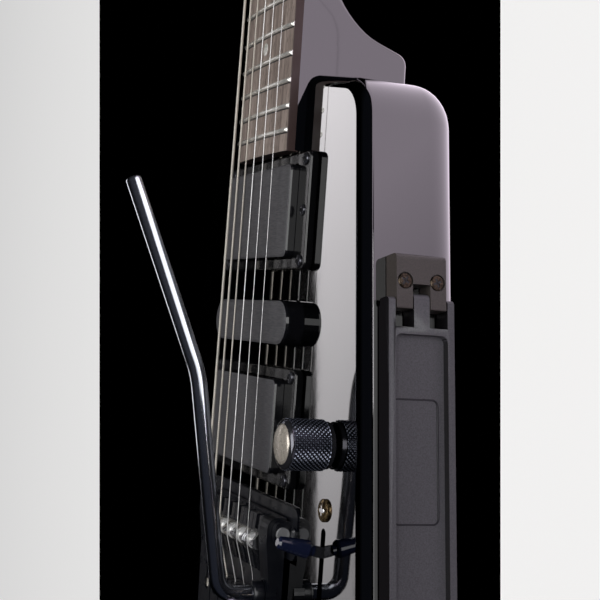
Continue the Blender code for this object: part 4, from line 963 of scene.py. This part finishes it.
def build_strings():
    """Each string in two lengths: nut to saddle, and saddle to jaw."""
    low = node_low("string_1").x
    seat = node_high("string_1").x - 1.6
    for number in STRING_NUMBERS:
        r = STRING_DIAMETERS[number - 1] / 2
        look = "wound_wire" if number > 3 else "plain_wire"
        y_nut = string_y(number, NUT_X)
        z_nut = string_z(number, NUT_X)
        y = string_y(number, 0)
        z = string_z(number, 0)
        nut_end = node_high("nut").x
        path = [(x, y_nut, z_nut) for x in (seat + 1.6, seat - 1.6, seat - 1.8, nut_end)]
        radii = [BALL_RADIUS, BALL_RADIUS, r, r]
        path.append((NUT_X, y_nut, z_nut))
        stations = [NUT_X - 3.0 - (NUT_X - 45.0) * i / 12 for i in range(13)] + [30, 24, 18, 12, 8, 5, 3]
        path += [(x, string_y(number, x), string_z(number, x)) for x in stations]
        path += [(1.0, y, z - 0.02), (0.0, y, z - 0.06)]
        radii += [r] * (len(path) - len(radii))
        front = make("string_%d_speaking" % number, tube(path, radii, 12), 50)
        dress(front, look, None, ("string_%d" % number,))
        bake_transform(front)
        z_jaw = FACE + 6.4
        ball = low + 1.6
        drops = ((0.0, 0.06), (-1.2, 0.16), (-3.0, 0.55), (-6.0, 1.4), (-12.0, 3.1))
        tail = [(x, y, z - drop) for x, drop in drops]
        tail += [(-19.5, y, z_jaw + 0.75), (-23.5, y, z_jaw + 0.15), (ball + 1.8, y, z_jaw)]
        tail += [(ball + 1.6, y, z_jaw), (ball - 1.6, y, z_jaw)]
        tail_radii = [r] * 8 + [BALL_RADIUS] * 2
        rear = make("string_%d_tail" % number, tube(tail, tail_radii, 12), 50)
        dress(rear, look, None, ("string_%d" % number,))
        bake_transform(rear)


def two_bars(long, wide, low, high):
    """The two bars of a cross recess."""
    return [block((-a, -b, low), (a, b, high)) for a, b in ((long, wide), (wide, long))]


def cross(radius, height):
    """A dark cross set in a screw's recess: painted shade on the recess floor."""
    return merged(*two_bars(radius * 0.58, radius * 0.15, height * 0.1, height * 0.72))


def cross_screw(radius, height):
    """A round-headed screw with a cross recess, head up the Z axis from zero."""
    profile = [(radius, -0.4), (radius, height * 0.35)]
    profile += [(radius * math.cos(a), height * (0.35 + 0.65 * math.sin(a))) for a in (0.35, 0.7, 1.05, 1.3)]
    obj = make("screw_form", turned(profile, 28))
    carve(obj, two_bars(radius * 0.6, radius * 0.16, height * 0.1, height * 2))
    bm = bmesh.new()
    bm.from_mesh(obj.data)
    bmesh.ops.scale(bm, vec=(1 / MM, 1 / MM, 1 / MM), verts=bm.verts)
    bpy.data.objects.remove(obj, do_unlink=True)
    return bm


def screws(name, places, radius, height, look, body="body"):
    """Several like cross-head screws as one piece; each place is a point and a turn."""
    heads = []
    crosses = []
    for i, (place, tilt) in enumerate(places):
        spin = Matrix.Rotation(0.5 + 1.1 * i, 3, "Z")
        heads.append(moved(cross_screw(radius, height), place, tilt @ spin))
        crosses.append(moved(cross(radius, height), place, tilt @ spin))
    # A dark cross in each recess is painted shade.
    piece(name + "_recess_shade", merged(*crosses), "graphite", body, 30)
    return piece(name, merged(*heads), look, body, 30)


def build_pickups():
    """Two ringed humbuckers and the single coil between them, with their screws."""
    for label, x in PICKUP_X.items():
        outline = rounded_rectangle(*RING_SIZE, 3.0, (x, 0))
        ring = make(label + "_ring_frame", prism(outline, FACE + 0.02, RING_TOP))
        soften(ring, 0.9, 4, even=False)
        bake(ring)
        carve(ring, [prism(rounded_rectangle(*RING_WINDOW, 2.6, (x, 0)), FACE - 9, FACE + 9)])
        ring.data.shade_smooth()
        ring.data.set_sharp_from_angle(angle=math.radians(35))
        flatten_light(ring)
        dress(ring, "ring", "body", (label + "_pickup_ring",))
        corners = [(x + dx * 19.75, dy * RING_SCREW_Y, RING_TOP) for dx in (-1, 1) for dy in (-1, 1)]
        screws(label + "_ring_screws", [(p, UPRIGHT) for p in corners], 2.5, 1.1, "black_nickel")
        heights = [(x, dy * RING_SCREW_Y, FACE + 3.6) for dy in (-1, 1)]
        screws(label + "_height_screws", [(p, UPRIGHT) for p in heights], 2.3, 1.0, "black_nickel")
        repaint(label + "_pickup", "cover")
    repaint("middle_pickup", "cover")


def ridge(turns):
    """One between the grooves of a knurl, zero in them."""
    return 1.0 - abs(2.0 * (turns % 1.0) - 1.0)


def knurled(radius, low, high, pitch, depth):
    """A grip of small diamonds round a knob, left by two crossing sets of grooves."""
    count = round(2 * math.pi * radius / pitch)
    columns = 6 * count
    rows = 6 * max(2, round((high - low) / pitch))
    rings = []
    for row in range(rows + 1):
        ring = []
        turn_z = row / 6.0
        for i in range(columns):
            turn_a = i / 6.0
            peak = min(1.0, 1.5 * min(ridge(turn_a + turn_z), ridge(turn_a - turn_z)))
            r = radius - depth * (1.0 - peak)
            angle = 2 * math.pi * i / columns
            ring.append((r * math.cos(angle), r * math.sin(angle), low + (high - low) * row / rows))
        rings.append(ring)
    plain = circle(radius - depth - 0.3, columns)
    rings.insert(0, [(x, y, low - 0.02) for x, y in plain])
    rings.append([(x, y, high + 0.02) for x, y in plain])
    return skin(rings)


def build_controls(sizes):
    """Knurled knobs with polished caps, the selector, the jack and the parts behind the face."""
    pitch = sizes.knurl_pitch / MM
    depth = sizes.knurl_depth / MM
    for label in ("volume", "tone"):
        node = label + "_knob"
        x = node_middle(node).x
        base = FACE + 0.9
        skirt = turned([(4.8, base), (8.2, base), (8.6, base + 0.4), (8.6, GRIP_LOW), (4.8, GRIP_LOW)], 72)
        edge = ((8.75, 0.0), (9.1, 0.2), (9.1, 0.5), (8.7, 1.0), (7.3, 1.45), (7.3, 0.0))
        rim = turned([(radius, GRIP_HIGH + rise) for radius, rise in edge], 72)
        angles = (0.0, 0.12, 0.25, 0.4, 0.6, 0.8, 1.0, 1.2, 1.4)
        dome = [(7.2 * math.cos(a), GRIP_HIGH + 1.2 + 1.7 * math.sin(a)) for a in angles]
        cap = turned([(7.2, GRIP_HIGH)] + dome, 72)
        shaft = turned([(3.0, FACE - 13.0), (3.0, FACE + 3.6)], 32)
        place = (x, CONTROL_Y, 0)
        grip = knurled(GRIP_RADIUS, GRIP_LOW, GRIP_HIGH, pitch, depth)
        piece(label + "_knob_grip", moved(grip, place), "knurl", label, 20, (node,))
        turnings = merged(skirt, shaft, rim)
        piece(label + "_knob_skirt", moved(turnings, place), "black_nickel", label, 35, (node,))
        piece(label + "_knob_cap", moved(cap, place), "cap", label, 35, (node,))
        repaint(label + "_pot", "bright")
    repaint("selector_switch", "bright")
    places = [((x, CONTROL_Y, FACE + 0.2), UPRIGHT) for x in SELECTOR_SCREW_X]
    screws("selector_screws", places, 4.2, 1.5, "brass")
    repaint("selector_lever", "black_nickel", 0.2)
    repaint("selector_tip", "resin")
    repaint("output_jack", "bright")


def build_arm():
    """The bent arm: a steel rod with a domed end, turning in a low collar on the treble cheek."""
    x, y = node_middle("arm_collar").xy
    corners = [
        (0.0, 4.5, 0),
        (0.0, 25.2, 7.0),
        (83.3, 34.8, 45.0),
        (159.2, 62.9, 0),
    ]
    path = [Vector((reach, 0.0, FACE + rise)) for reach, rise in round_corners(corners, 12)]
    radius = 3.2
    last = path.pop()
    back = (path[-1] - last).normalized()
    steps = [(math.cos(a), math.sin(a)) for a in (0.0, 0.45, 0.85, 1.2, 1.45)]
    path[1:1] = [Vector((0.0, 0.0, FACE + 8.4)), Vector((0.0, 0.0, FACE + 8.7))]
    radii = [2.75] * 2 + [radius] * (len(path) - 2)
    path += [last + back * (1.5 * (1 - sine)) for cosine, sine in steps]
    radii += [radius - 1.5 * (1 - cosine) for cosine, sine in steps]
    turn = Matrix.Rotation(math.radians(10.0), 3, "Z")
    rod = moved(tube(path, radii, 40), (x, y, 0), turn)
    arm = piece("arm_rod", rod, "chrome", "arm", 40, ("trem_arm",))
    exclude("lacquer_outside_softboxes", arm)
    bpy.data.collections["arm_alone"].objects.link(arm)
    seat = node_low("arm_collar").z
    edge = ((3.4, 0.0), (4.9, 0.0), (4.9, 3.0), (4.6, 3.6), (4.0, 4.0), (3.4, 4.0))
    ring = turned([(r, seat + rise) for r, rise in edge], 48, caps=False)
    piece("arm_ring", moved(ring, (x, y, 0)), "zinc", "tremolo", 35, ("arm_collar",))


def build_tremolo():
    """Cast tremolo, its saddles and jaws, thumb screws, spring and polished arm."""
    repaint("trem_base", "zinc", 0.5)
    repaint("trem_carriage", "zinc", 0.6)
    repaint("pivot_pin_treble", "bright")
    repaint("pivot_pin_bass", "bright")
    repaint("trem_spring", "spring")
    repaint("spring_adjuster", "black_nickel")
    for number in STRING_NUMBERS:
        repaint("saddle_%d" % number, "saddle", 0.3)
        repaint("tuner_jaw_%d" % number, "zinc", 0.4)
        repaint("tuner_knob_%d" % number, "zinc")
    build_arm()
    barrels = []
    for number in STRING_NUMBERS:
        crest = string_z(number, 0) - STRING_DIAMETERS[number - 1] / 2 - 0.1
        profile = []
        for k in range(17):
            y = 3.7 * (k / 8 - 1)
            profile.append((2.0 + 1.4 * math.sqrt(max(0.0, 1 - (y / 3.75) ** 2)) - 0.3 * (k % 4 == 0), y))
        barrels.append(moved(turned(profile, 40, "Y"), (0.3, string_y(number, 0), crest - 3.4)))
    piece("saddle_rollers", merged(*barrels), "roller", "tremolo", 50)


def on_side(bm):
    """Bring a form from the side's own frame (X along it, -Y outward, zero on the pin) to its place."""
    turn = Matrix.Rotation(math.atan(SIDE_FLARE), 3, "Z")
    return moved(bm, (LEG_PIN_X, -side_half_width(LEG_PIN_X), FACE - 19.0), turn)


def leg_form():
    """The leg: a recessed panel in a rim, with a tongue and two rails at the hinge, and a bare raised frame."""
    half, window, tongue = 12.8, 10.2, 3.05
    corners = [(-111.4, LEG_INNER, 1.0), (-111.4, LEG_OUTER, 5.0), (0.2, LEG_OUTER, 0), (0.2, LEG_INNER, 0)]
    leg = make("leg_shell", on_side(prism(round_corners(corners, 8), -half, half)))

    def nose(reach, low, high):
        tip = [(reach, LEG_OUTER, 1.9), (reach, LEG_INNER, 1.9)]
        return on_side(prism(round_corners([(-1.0, LEG_INNER, 0), (-1.0, LEG_OUTER, 0), *tip], 8), low, high))

    gaps = []
    for sign in (-1, 1):
        near, far = sorted((sign * tongue, sign * window))
        gaps.append(on_side(block((-9.1, LEG_OUTER - 1, near), (1.2, LEG_INNER + 1, far))))
    panel = rounded_rectangle(92.3, 2 * window, 2.5, (-57.65, 0.0))
    gaps.append(on_side(prism(panel, LEG_OUTER - 1, LEG_OUTER + 3.2, "Y")))
    carve(leg, gaps)
    rails = [nose(1.3, -half, -window), nose(1.3, window, half)]
    carve(leg, [nose(2.8, -tongue, tongue), *rails], "UNION")
    carve(leg, [on_side(turned([(1.6, -20.0), (1.6, 20.0)], 24, "Z"))])
    rim = rounded_rectangle(43.0, 17.9, 2.4, (-54.9, 1.1))
    inside = rounded_rectangle(41.8, 16.7, 1.8, (-54.9, 1.1))
    level = LEG_OUTER + 3.2
    frame_form = make("leg_frame", on_side(prism(rim, level - 0.45, level + 0.2, "Y")))
    carve(frame_form, [on_side(prism(inside, level - 1.0, level + 1.0, "Y"))])
    return leg, frame_form


def build_leg():
    """Fold-out leg with its bracket, two cross-head screws and the pin."""
    leg, rim = leg_form()
    soften(leg, 0.45, 3, 40)
    dress(leg, "nylon", "leg", ("leg_rest",))
    soften(rim, 0.15, 2, 40)
    dress(rim, "zinc", "leg")
    root = -0.3
    outline = [(16.8, root, 0), (16.8, LEG_OUTER, 2.0), (-2.7, LEG_OUTER, 0.6), (-2.7, root, 0.6)]
    bracket = make("bracket_block", on_side(prism(round_corners(outline, 8), -9.7, 9.7)))
    carve(bracket, [on_side(block((-4.0, LEG_OUTER - 1, -3.45), (6.1, root + 1, 3.45)))])
    holes = []
    heads = []
    crosses = []
    outward = Matrix.Rotation(math.radians(90), 3, "X")
    for sign, spin in ((-1, 0.35), (1, 1.0)):
        place = (7.1, LEG_OUTER, sign * 6.3)
        holes.append(on_side(moved(turned([(3.0, -1.0), (3.0, 0.9)], 32, "Y"), place)))
        for group, form in ((heads, cross_screw(2.7, 0.7)), (crosses, cross(2.7, 0.7))):
            spun = moved(form, (0, 0, -0.6), Matrix.Rotation(spin, 3, "Z"))
            group.append(on_side(moved(spun, place, outward)))
    carve(bracket, holes)
    soften(bracket, 0.45, 3, 40)
    dress(bracket, "brown_nylon", "body", ("leg_bracket",))
    piece("bracket_screws", merged(*heads), "screw", "body", 30)
    # A dark cross in each recess is painted shade.
    piece("bracket_screw_recess_shade", merged(*crosses), "graphite", "body", 30)
    repaint("leg_pin", "bright")


def build_buttons():
    """Both strap buttons in black nickel."""
    repaint("strap_button_tail", "black_nickel")
    repaint("strap_button_neck", "black_nickel")


CAMERA_PLACE = Vector((86.28, -477.50, FACE + 183.79))
CAMERA_AIM = Vector((96.06, 0.0, FACE - 14.83))
CAMERA_ROLL = math.radians(-4.024)
CAMERA_LENS = 73.93
SENSOR_WIDTH = 36.0

# The stage's far card: its ends as (x, lower height, upper height), and how strongly they glow
FAR_CARD_Y = 1500.0
FAR_CARD_LOW = (-640.0, 769.0, 851.0)
FAR_CARD_HIGH = (562.0, 678.0, 772.0)
FAR_GLOW = (0.3, 2.3)
# Cards just over the floor, as their low and high (x, y), and the glow of the small one and the room
CARD_LEVEL = 1.0
HEEL_CARD = ((205.0, -620.0), (460.0, -186.0))
EDGE_CARD = ((100.0, -290.0), (190.0, -255.0))
EDGE_GLOW = 8.0
ROOM_GLOW = 0.06
# The photograph's size and the width of its pale margins, in its pixels
PICTURE = 600.0
MARGIN = 100.0
# How bright the floor looks in a mirror, from the tail's end to the shoulder's, and its strip in metres
FLOOR_GLOW = (0.6, 1.3)
STRIP_X = (0.06, 0.17)
STRIP_FAR_Y = (-0.215, -0.185)
STRIP_NEAR_Y = (-0.03, -0.01)
FLOOR_TINT = "#fdeeff"
# How far the pale floor and the room are lifted for the camera alone
PAPER_LIFT = 0.46
# The black cloth behind the guitar lies just over the floor and stands up at its far edge
CLOTH_LEVEL = -0.2
CLOTH_FAR = 118.0
CLOTH_SPARE = 40.0


def camera_axes():
    """The camera's right, up and forward directions."""
    ahead = (CAMERA_AIM - CAMERA_PLACE).normalized()
    up = (Vector((1, 0, 0)) - ahead * ahead.x).normalized()
    up.rotate(Matrix.Rotation(CAMERA_ROLL, 3, ahead))
    return ahead.cross(up), up, ahead


def build_camera():
    """The photograph's viewpoint: from the treble side, with the headpiece upwards."""
    data = bpy.data.cameras.new("photo_camera")
    data.lens = CAMERA_LENS
    data.sensor_width = SENSOR_WIDTH
    camera = bpy.data.objects.new("photo_camera", data)
    bpy.context.scene.collection.objects.link(camera)
    right, up, ahead = camera_axes()
    turn = Matrix((right, up, -ahead)).transposed()
    camera.matrix_world = Matrix.Translation(CAMERA_PLACE * MM) @ turn.to_4x4()
    bpy.context.scene.camera = camera


def lamp(name, place, aim, size, watts, height=None):
    """A rectangular softbox, in metres."""
    data = bpy.data.lights.new(name, "AREA")
    data.shape = "RECTANGLE"
    data.size = size
    data.size_y = height or size
    data.energy = watts
    obj = bpy.data.objects.new(name, data)
    bpy.context.scene.collection.objects.link(obj)
    obj.location = place
    obj.rotation_euler = (Vector(aim) - Vector(place)).to_track_quat("-Z", "Y").to_euler()
    obj.visible_camera = False
    return obj


def glowing_card(name, corners, radius, stops, tint="#fffbfe"):
    """A card whose glow changes along X, between two stops of (x in metres, strength)."""
    first = Vector(corners[0])
    across = (Vector(corners[1]) - first).normalized()
    normal = across.cross(Vector(corners[2]) - first).normalized()
    upright = normal.cross(across)
    flat = [((Vector(c) - first).dot(across), (Vector(c) - first).dot(upright)) for c in corners]
    outline = round_corners([(a, b, radius) for a, b in flat], 8)
    mesh = bpy.data.meshes.new(name)
    points = [(first + across * a + upright * b) * MM for a, b in outline]
    mesh.from_pydata(points, [], [range(len(points))])
    card = bpy.data.objects.new(name, mesh)
    bpy.context.scene.collection.objects.link(card)
    mat = bpy.data.materials.new(name + "_paper")
    mat.use_nodes = True
    tree = mat.node_tree
    tree.nodes.clear()
    place = add_node(tree, "ShaderNodeTexCoord")
    along = add_node(tree, "ShaderNodeSeparateXYZ", Vector=place.outputs["Object"]).outputs["X"]
    (far_x, far_glow), (near_x, near_glow) = stops
    glow = add_node(
        tree, "ShaderNodeMapRange", Value=along,
        From_Min=far_x, From_Max=near_x, To_Min=far_glow, To_Max=near_glow,
    )
    light = add_node(tree, "ShaderNodeEmission", Color=linear(tint), Strength=glow.outputs[0])
    add_node(tree, "ShaderNodeOutputMaterial", Surface=light.outputs[0])
    mesh.materials.append(mat)
    card.visible_camera = False
    card.visible_shadow = False
    card.light_linking.receiver_collection = bpy.data.collections["floor_outside_cards"]


def picture_ray(u, v):
    """The direction through a place of the picture, one long along the view."""
    right, up, ahead = camera_axes()
    unit = SENSOR_WIDTH / CAMERA_LENS / PICTURE
    return ahead + right * ((u - PICTURE / 2) * unit) - up * ((v - PICTURE / 2) * unit)


def seen_on(u, v, axis, level):
    """The point of a plane across X, Y or Z that the camera sees at (u, v)."""
    ray = picture_ray(u, v)
    return CAMERA_PLACE + ray * ((level - CAMERA_PLACE[axis]) / ray[axis])


def camera_sheet(name, points):
    """A black sheet that only the camera sees, and only from its front."""
    mesh = bpy.data.meshes.new(name)
    mesh.from_pydata([p * MM for p in points], [], [range(len(points))])
    sheet = bpy.data.objects.new(name, mesh)
    bpy.context.scene.collection.objects.link(sheet)
    mat = bpy.data.materials.new(name + "_face")
    mat.use_nodes = True
    tree = mat.node_tree
    tree.nodes.clear()
    behind = add_node(tree, "ShaderNodeNewGeometry").outputs["Backfacing"]
    face = add_node(tree, "ShaderNodeEmission", Strength=0.0)
    clear = add_node(tree, "ShaderNodeBsdfTransparent")
    both = add_node(tree, "ShaderNodeMixShader", i0=behind, i1=face.outputs[0], i2=clear.outputs[0])
    add_node(tree, "ShaderNodeOutputMaterial", Surface=both.outputs[0])
    mesh.materials.append(mat)
    for kind in ("diffuse", "glossy", "transmission", "shadow"):
        setattr(sheet, "visible_" + kind, False)


def black_cloth():
    """The black cloth that fills the picture between its pale margins, seen from the front only."""
    low, high = -CLOTH_SPARE, PICTURE + CLOTH_SPARE
    near = [seen_on(PICTURE + 0.5 - MARGIN, v, 2, CLOTH_LEVEL) for v in (high, low)]
    top = [seen_on(MARGIN - 0.5, v, 1, CLOTH_FAR) for v in (high, low)]
    fold = [Vector((p.x, CLOTH_FAR, CLOTH_LEVEL)) for p in top]
    camera_sheet("cloth_lying", (near[0], near[1], fold[1], fold[0]))
    camera_sheet("cloth_standing", (fold[0], fold[1], top[1], top[0]))


def lying_corners(low, high):
    """The corners of a card that lies just over the floor."""
    (x0, y0), (x1, y1) = low, high
    return [(x, y, CARD_LEVEL) for x, y in ((x0, y0), (x1, y0), (x1, y1), (x0, y1))]


def build_floor(colour):
    """A pale floor for the camera; a mirror sees it black, with one glowing strip beside the body."""
    floor = make("floor", block((-6000, -6000, -6.0), (6000, 6000, -0.3)))
    mat, tree, shader = start_material("studio_floor", linear("#010101"), 1.0, Specular_IOR_Level=0.0)
    place = add_node(tree, "ShaderNodeTexCoord")
    parts = add_node(tree, "ShaderNodeSeparateXYZ", Vector=place.outputs["Object"])
    glow = 1.0
    for axis, (start, end), (low, high) in (
        ("X", STRIP_X, FLOOR_GLOW), ("Y", STRIP_FAR_Y, (0.0, 1.0)), ("Y", STRIP_NEAR_Y, (1.0, 0.0))
    ):
        share = add_node(
            tree, "ShaderNodeMapRange", Value=parts.outputs[axis],
            From_Min=start, From_Max=end, To_Min=low, To_Max=high,
        ).outputs[0]
        glow = add_node(tree, "ShaderNodeMath", {"operation": "MULTIPLY"}, i0=glow, i1=share).outputs[0]
    bright = add_node(tree, "ShaderNodeEmission", Color=linear(FLOOR_TINT), Strength=glow).outputs[0]
    ray = add_node(tree, "ShaderNodeLightPath").outputs
    mirrored = add_node(tree, "ShaderNodeMixShader", i0=ray["Is Glossy Ray"], i1=shader.outputs[0], i2=bright)
    paper = add_node(tree, "ShaderNodeBsdfDiffuse", Color=colour).outputs[0]
    lift = add_node(tree, "ShaderNodeEmission", Strength=PAPER_LIFT).outputs[0]
    seen = add_node(tree, "ShaderNodeAddShader", i0=paper, i1=lift).outputs[0]
    whole = add_node(tree, "ShaderNodeMixShader", i0=ray["Is Camera Ray"], i1=mirrored.outputs[0], i2=seen)
    tree.links.new(whole.outputs[0], tree.nodes["Material Output"].inputs["Surface"])
    floor.data.materials.append(mat)
    bpy.data.collections.new("floor_outside_cards")
    exclude("floor_outside_cards", floor)


def build_room():
    """The room: pale for the camera, and for mirrors a dim blue grey that ends behind the guitar."""
    world = bpy.data.worlds.new("room")
    bpy.context.scene.world = world
    world.use_nodes = True
    tree = world.node_tree
    back = tree.nodes["Background"]
    back.inputs["Color"].default_value = linear("#8c94ac")
    way = add_node(tree, "ShaderNodeTexCoord").outputs["Generated"]
    across = add_node(tree, "ShaderNodeSeparateXYZ", Vector=way).outputs["Y"]
    add_node(
        tree, "ShaderNodeMapRange", feeds=back.inputs["Strength"], Value=across,
        From_Min=-0.3, From_Max=0.2, To_Min=ROOM_GLOW, To_Max=0.0,
    )
    ray = add_node(tree, "ShaderNodeLightPath").outputs["Is Camera Ray"]
    pale = add_node(tree, "ShaderNodeBackground", Strength=PAPER_LIFT).outputs[0]
    room = add_node(tree, "ShaderNodeMixShader", i0=ray, i1=back.outputs[0], i2=pale)
    tree.links.new(room.outputs[0], tree.nodes["World Output"].inputs["Surface"])


def build_softboxes():
    """Two softboxes for all but the lacquer and the arm, and two strips for the arm alone."""
    unlit = bpy.data.collections.new("lacquer_outside_softboxes")
    alone = bpy.data.collections.new("arm_alone")
    for softbox, receivers in (
        (lamp("overhead_softbox", (0.3, -0.3, 1.9), (0.1, 0.0, 0.0), 1.4, 20.0), unlit),
        (lamp("front_softbox", (0.4, -1.7, 0.9), (0.1, 0.0, 0.02), 1.2, 16.0), unlit),
        (lamp("arm_strip", (0.125, -0.064, 0.07), (0.1, -0.015, 0.09), 0.12, 0.05, 0.075), alone),
        (lamp("arm_rim_strip", (0.1, 0.42, 0.32), (0.09, -0.02, 0.1), 0.35, 0.35, 0.2), alone),
    ):
        softbox.light_linking.receiver_collection = receivers


def build_cards():
    """Cards whose mirror images shape the lacquer: the far one on the face, the others on the flank."""
    low, high = FAR_CARD_LOW, FAR_CARD_HIGH
    ends = ((low[0], low[1]), (high[0], high[1]), (high[0], high[2]), (low[0], low[2]))
    corners = [(x, FAR_CARD_Y, z) for x, z in ends]
    glowing_card("far_card", corners, 16.0, ((low[0] * MM, FAR_GLOW[0]), (high[0] * MM, FAR_GLOW[1])))
    level = FLOOR_GLOW[1]
    glowing_card("heel_card", lying_corners(*HEEL_CARD), 2.0, ((0.2, level), (0.46, level)), FLOOR_TINT)
    glowing_card("edge_card", lying_corners(*EDGE_CARD), 4.0, ((0.1, EDGE_GLOW), (0.19, EDGE_GLOW)))


class StepOperator:
    """What every step shares: it can be undone."""

    bl_options = {"REGISTER", "UNDO"}


class GUITAR_OT_body(StepOperator, bpy.types.Operator):
    """Join the core, the wings and the neck into one lacquered form"""

    bl_idname = "guitar.body"
    bl_label = "Body and neck"

    def execute(self, context):
        build_body(context.scene.guitar_sizes)
        return {"FINISHED"}


class GUITAR_OT_fingerboard(StepOperator, bpy.types.Operator):
    """Make the rosewood board with its frets and dots"""

    bl_idname = "guitar.fingerboard"
    bl_label = "Fingerboard and frets"

    def execute(self, context):
        build_fingerboard(context.scene.guitar_sizes)
        return {"FINISHED"}


class GUITAR_OT_head(StepOperator, bpy.types.Operator):
    """Finish the nut and the headpiece"""

    bl_idname = "guitar.head"
    bl_label = "Nut and headpiece"

    def execute(self, context):
        build_head()
        return {"FINISHED"}


class GUITAR_OT_strings(StepOperator, bpy.types.Operator):
    """String the guitar with three plain and three wound strings"""

    bl_idname = "guitar.strings"
    bl_label = "Strings"

    def execute(self, context):
        build_strings()
        return {"FINISHED"}


class GUITAR_OT_pickups(StepOperator, bpy.types.Operator):
    """Frame and finish the three pickups"""

    bl_idname = "guitar.pickups"
    bl_label = "Pickups"

    def execute(self, context):
        build_pickups()
        return {"FINISHED"}


class GUITAR_OT_controls(StepOperator, bpy.types.Operator):
    """Make the knurled knobs and finish the selector and the jack"""

    bl_idname = "guitar.controls"
    bl_label = "Knobs, selector and jack"

    def execute(self, context):
        build_controls(context.scene.guitar_sizes)
        return {"FINISHED"}


class GUITAR_OT_tremolo(StepOperator, bpy.types.Operator):
    """Finish the tremolo, its saddles, jaws, thumb screws, spring and arm"""

    bl_idname = "guitar.tremolo"
    bl_label = "Tremolo"

    def execute(self, context):
        build_tremolo()
        return {"FINISHED"}


class GUITAR_OT_leg(StepOperator, bpy.types.Operator):
    """Finish the fold-out leg rest"""

    bl_idname = "guitar.leg"
    bl_label = "Leg rest"

    def execute(self, context):
        build_leg()
        return {"FINISHED"}


class GUITAR_OT_buttons(StepOperator, bpy.types.Operator):
    """Finish the two strap buttons"""

    bl_idname = "guitar.buttons"
    bl_label = "Strap buttons"

    def execute(self, context):
        build_buttons()
        return {"FINISHED"}


class GUITAR_OT_stage(StepOperator, bpy.types.Operator):
    """Set the camera, the floor, the room, the softboxes, the cards and the cloth"""

    bl_idname = "guitar.stage"
    bl_label = "Stage"

    def execute(self, context):
        build_camera()
        build_floor((*context.scene.guitar_colours.floor, 1.0))
        build_room()
        build_softboxes()
        build_cards()
        black_cloth()
        context.scene.view_settings.view_transform = "Standard"
        return {"FINISHED"}


STEPS = (
    GUITAR_OT_stage,
    GUITAR_OT_body,
    GUITAR_OT_fingerboard,
    GUITAR_OT_head,
    GUITAR_OT_strings,
    GUITAR_OT_pickups,
    GUITAR_OT_controls,
    GUITAR_OT_tremolo,
    GUITAR_OT_leg,
    GUITAR_OT_buttons,
)


class GUITAR_PT_steps(bpy.types.Panel):
    """Lists the guitar's sizes, colours and steps"""

    bl_idname = "GUITAR_PT_steps"
    bl_label = "Headless guitar"
    bl_space_type = "VIEW_3D"
    bl_region_type = "UI"
    bl_category = "Guitar"

    def draw(self, context):
        for group in (context.scene.guitar_sizes, context.scene.guitar_colours):
            for name in group.__annotations__:
                self.layout.prop(group, name)
        for step in STEPS:
            self.layout.operator(step.bl_idname)


CLASSES = (GuitarSizes, GuitarColours, *STEPS, GUITAR_PT_steps)


def register():
    """Register the classes and hang the sizes and colours on the scene."""
    for cls in CLASSES:
        bpy.utils.register_class(cls)
    bpy.types.Scene.guitar_sizes = bpy.props.PointerProperty(type=GuitarSizes)
    bpy.types.Scene.guitar_colours = bpy.props.PointerProperty(type=GuitarColours)


def unregister():
    """Take away what register added."""
    del bpy.types.Scene.guitar_colours
    del bpy.types.Scene.guitar_sizes
    for cls in reversed(CLASSES):
        bpy.utils.unregister_class(cls)


def run_step(step):
    """Run one operator by its name."""
    group, name = step.bl_idname.split(".")
    getattr(getattr(bpy.ops, group), name)()


def main():
    """Register the add-on, run every step and keep the sizes."""
    register()
    for step in STEPS:
        run_step(step)


if __name__ == "__main__":
    main()
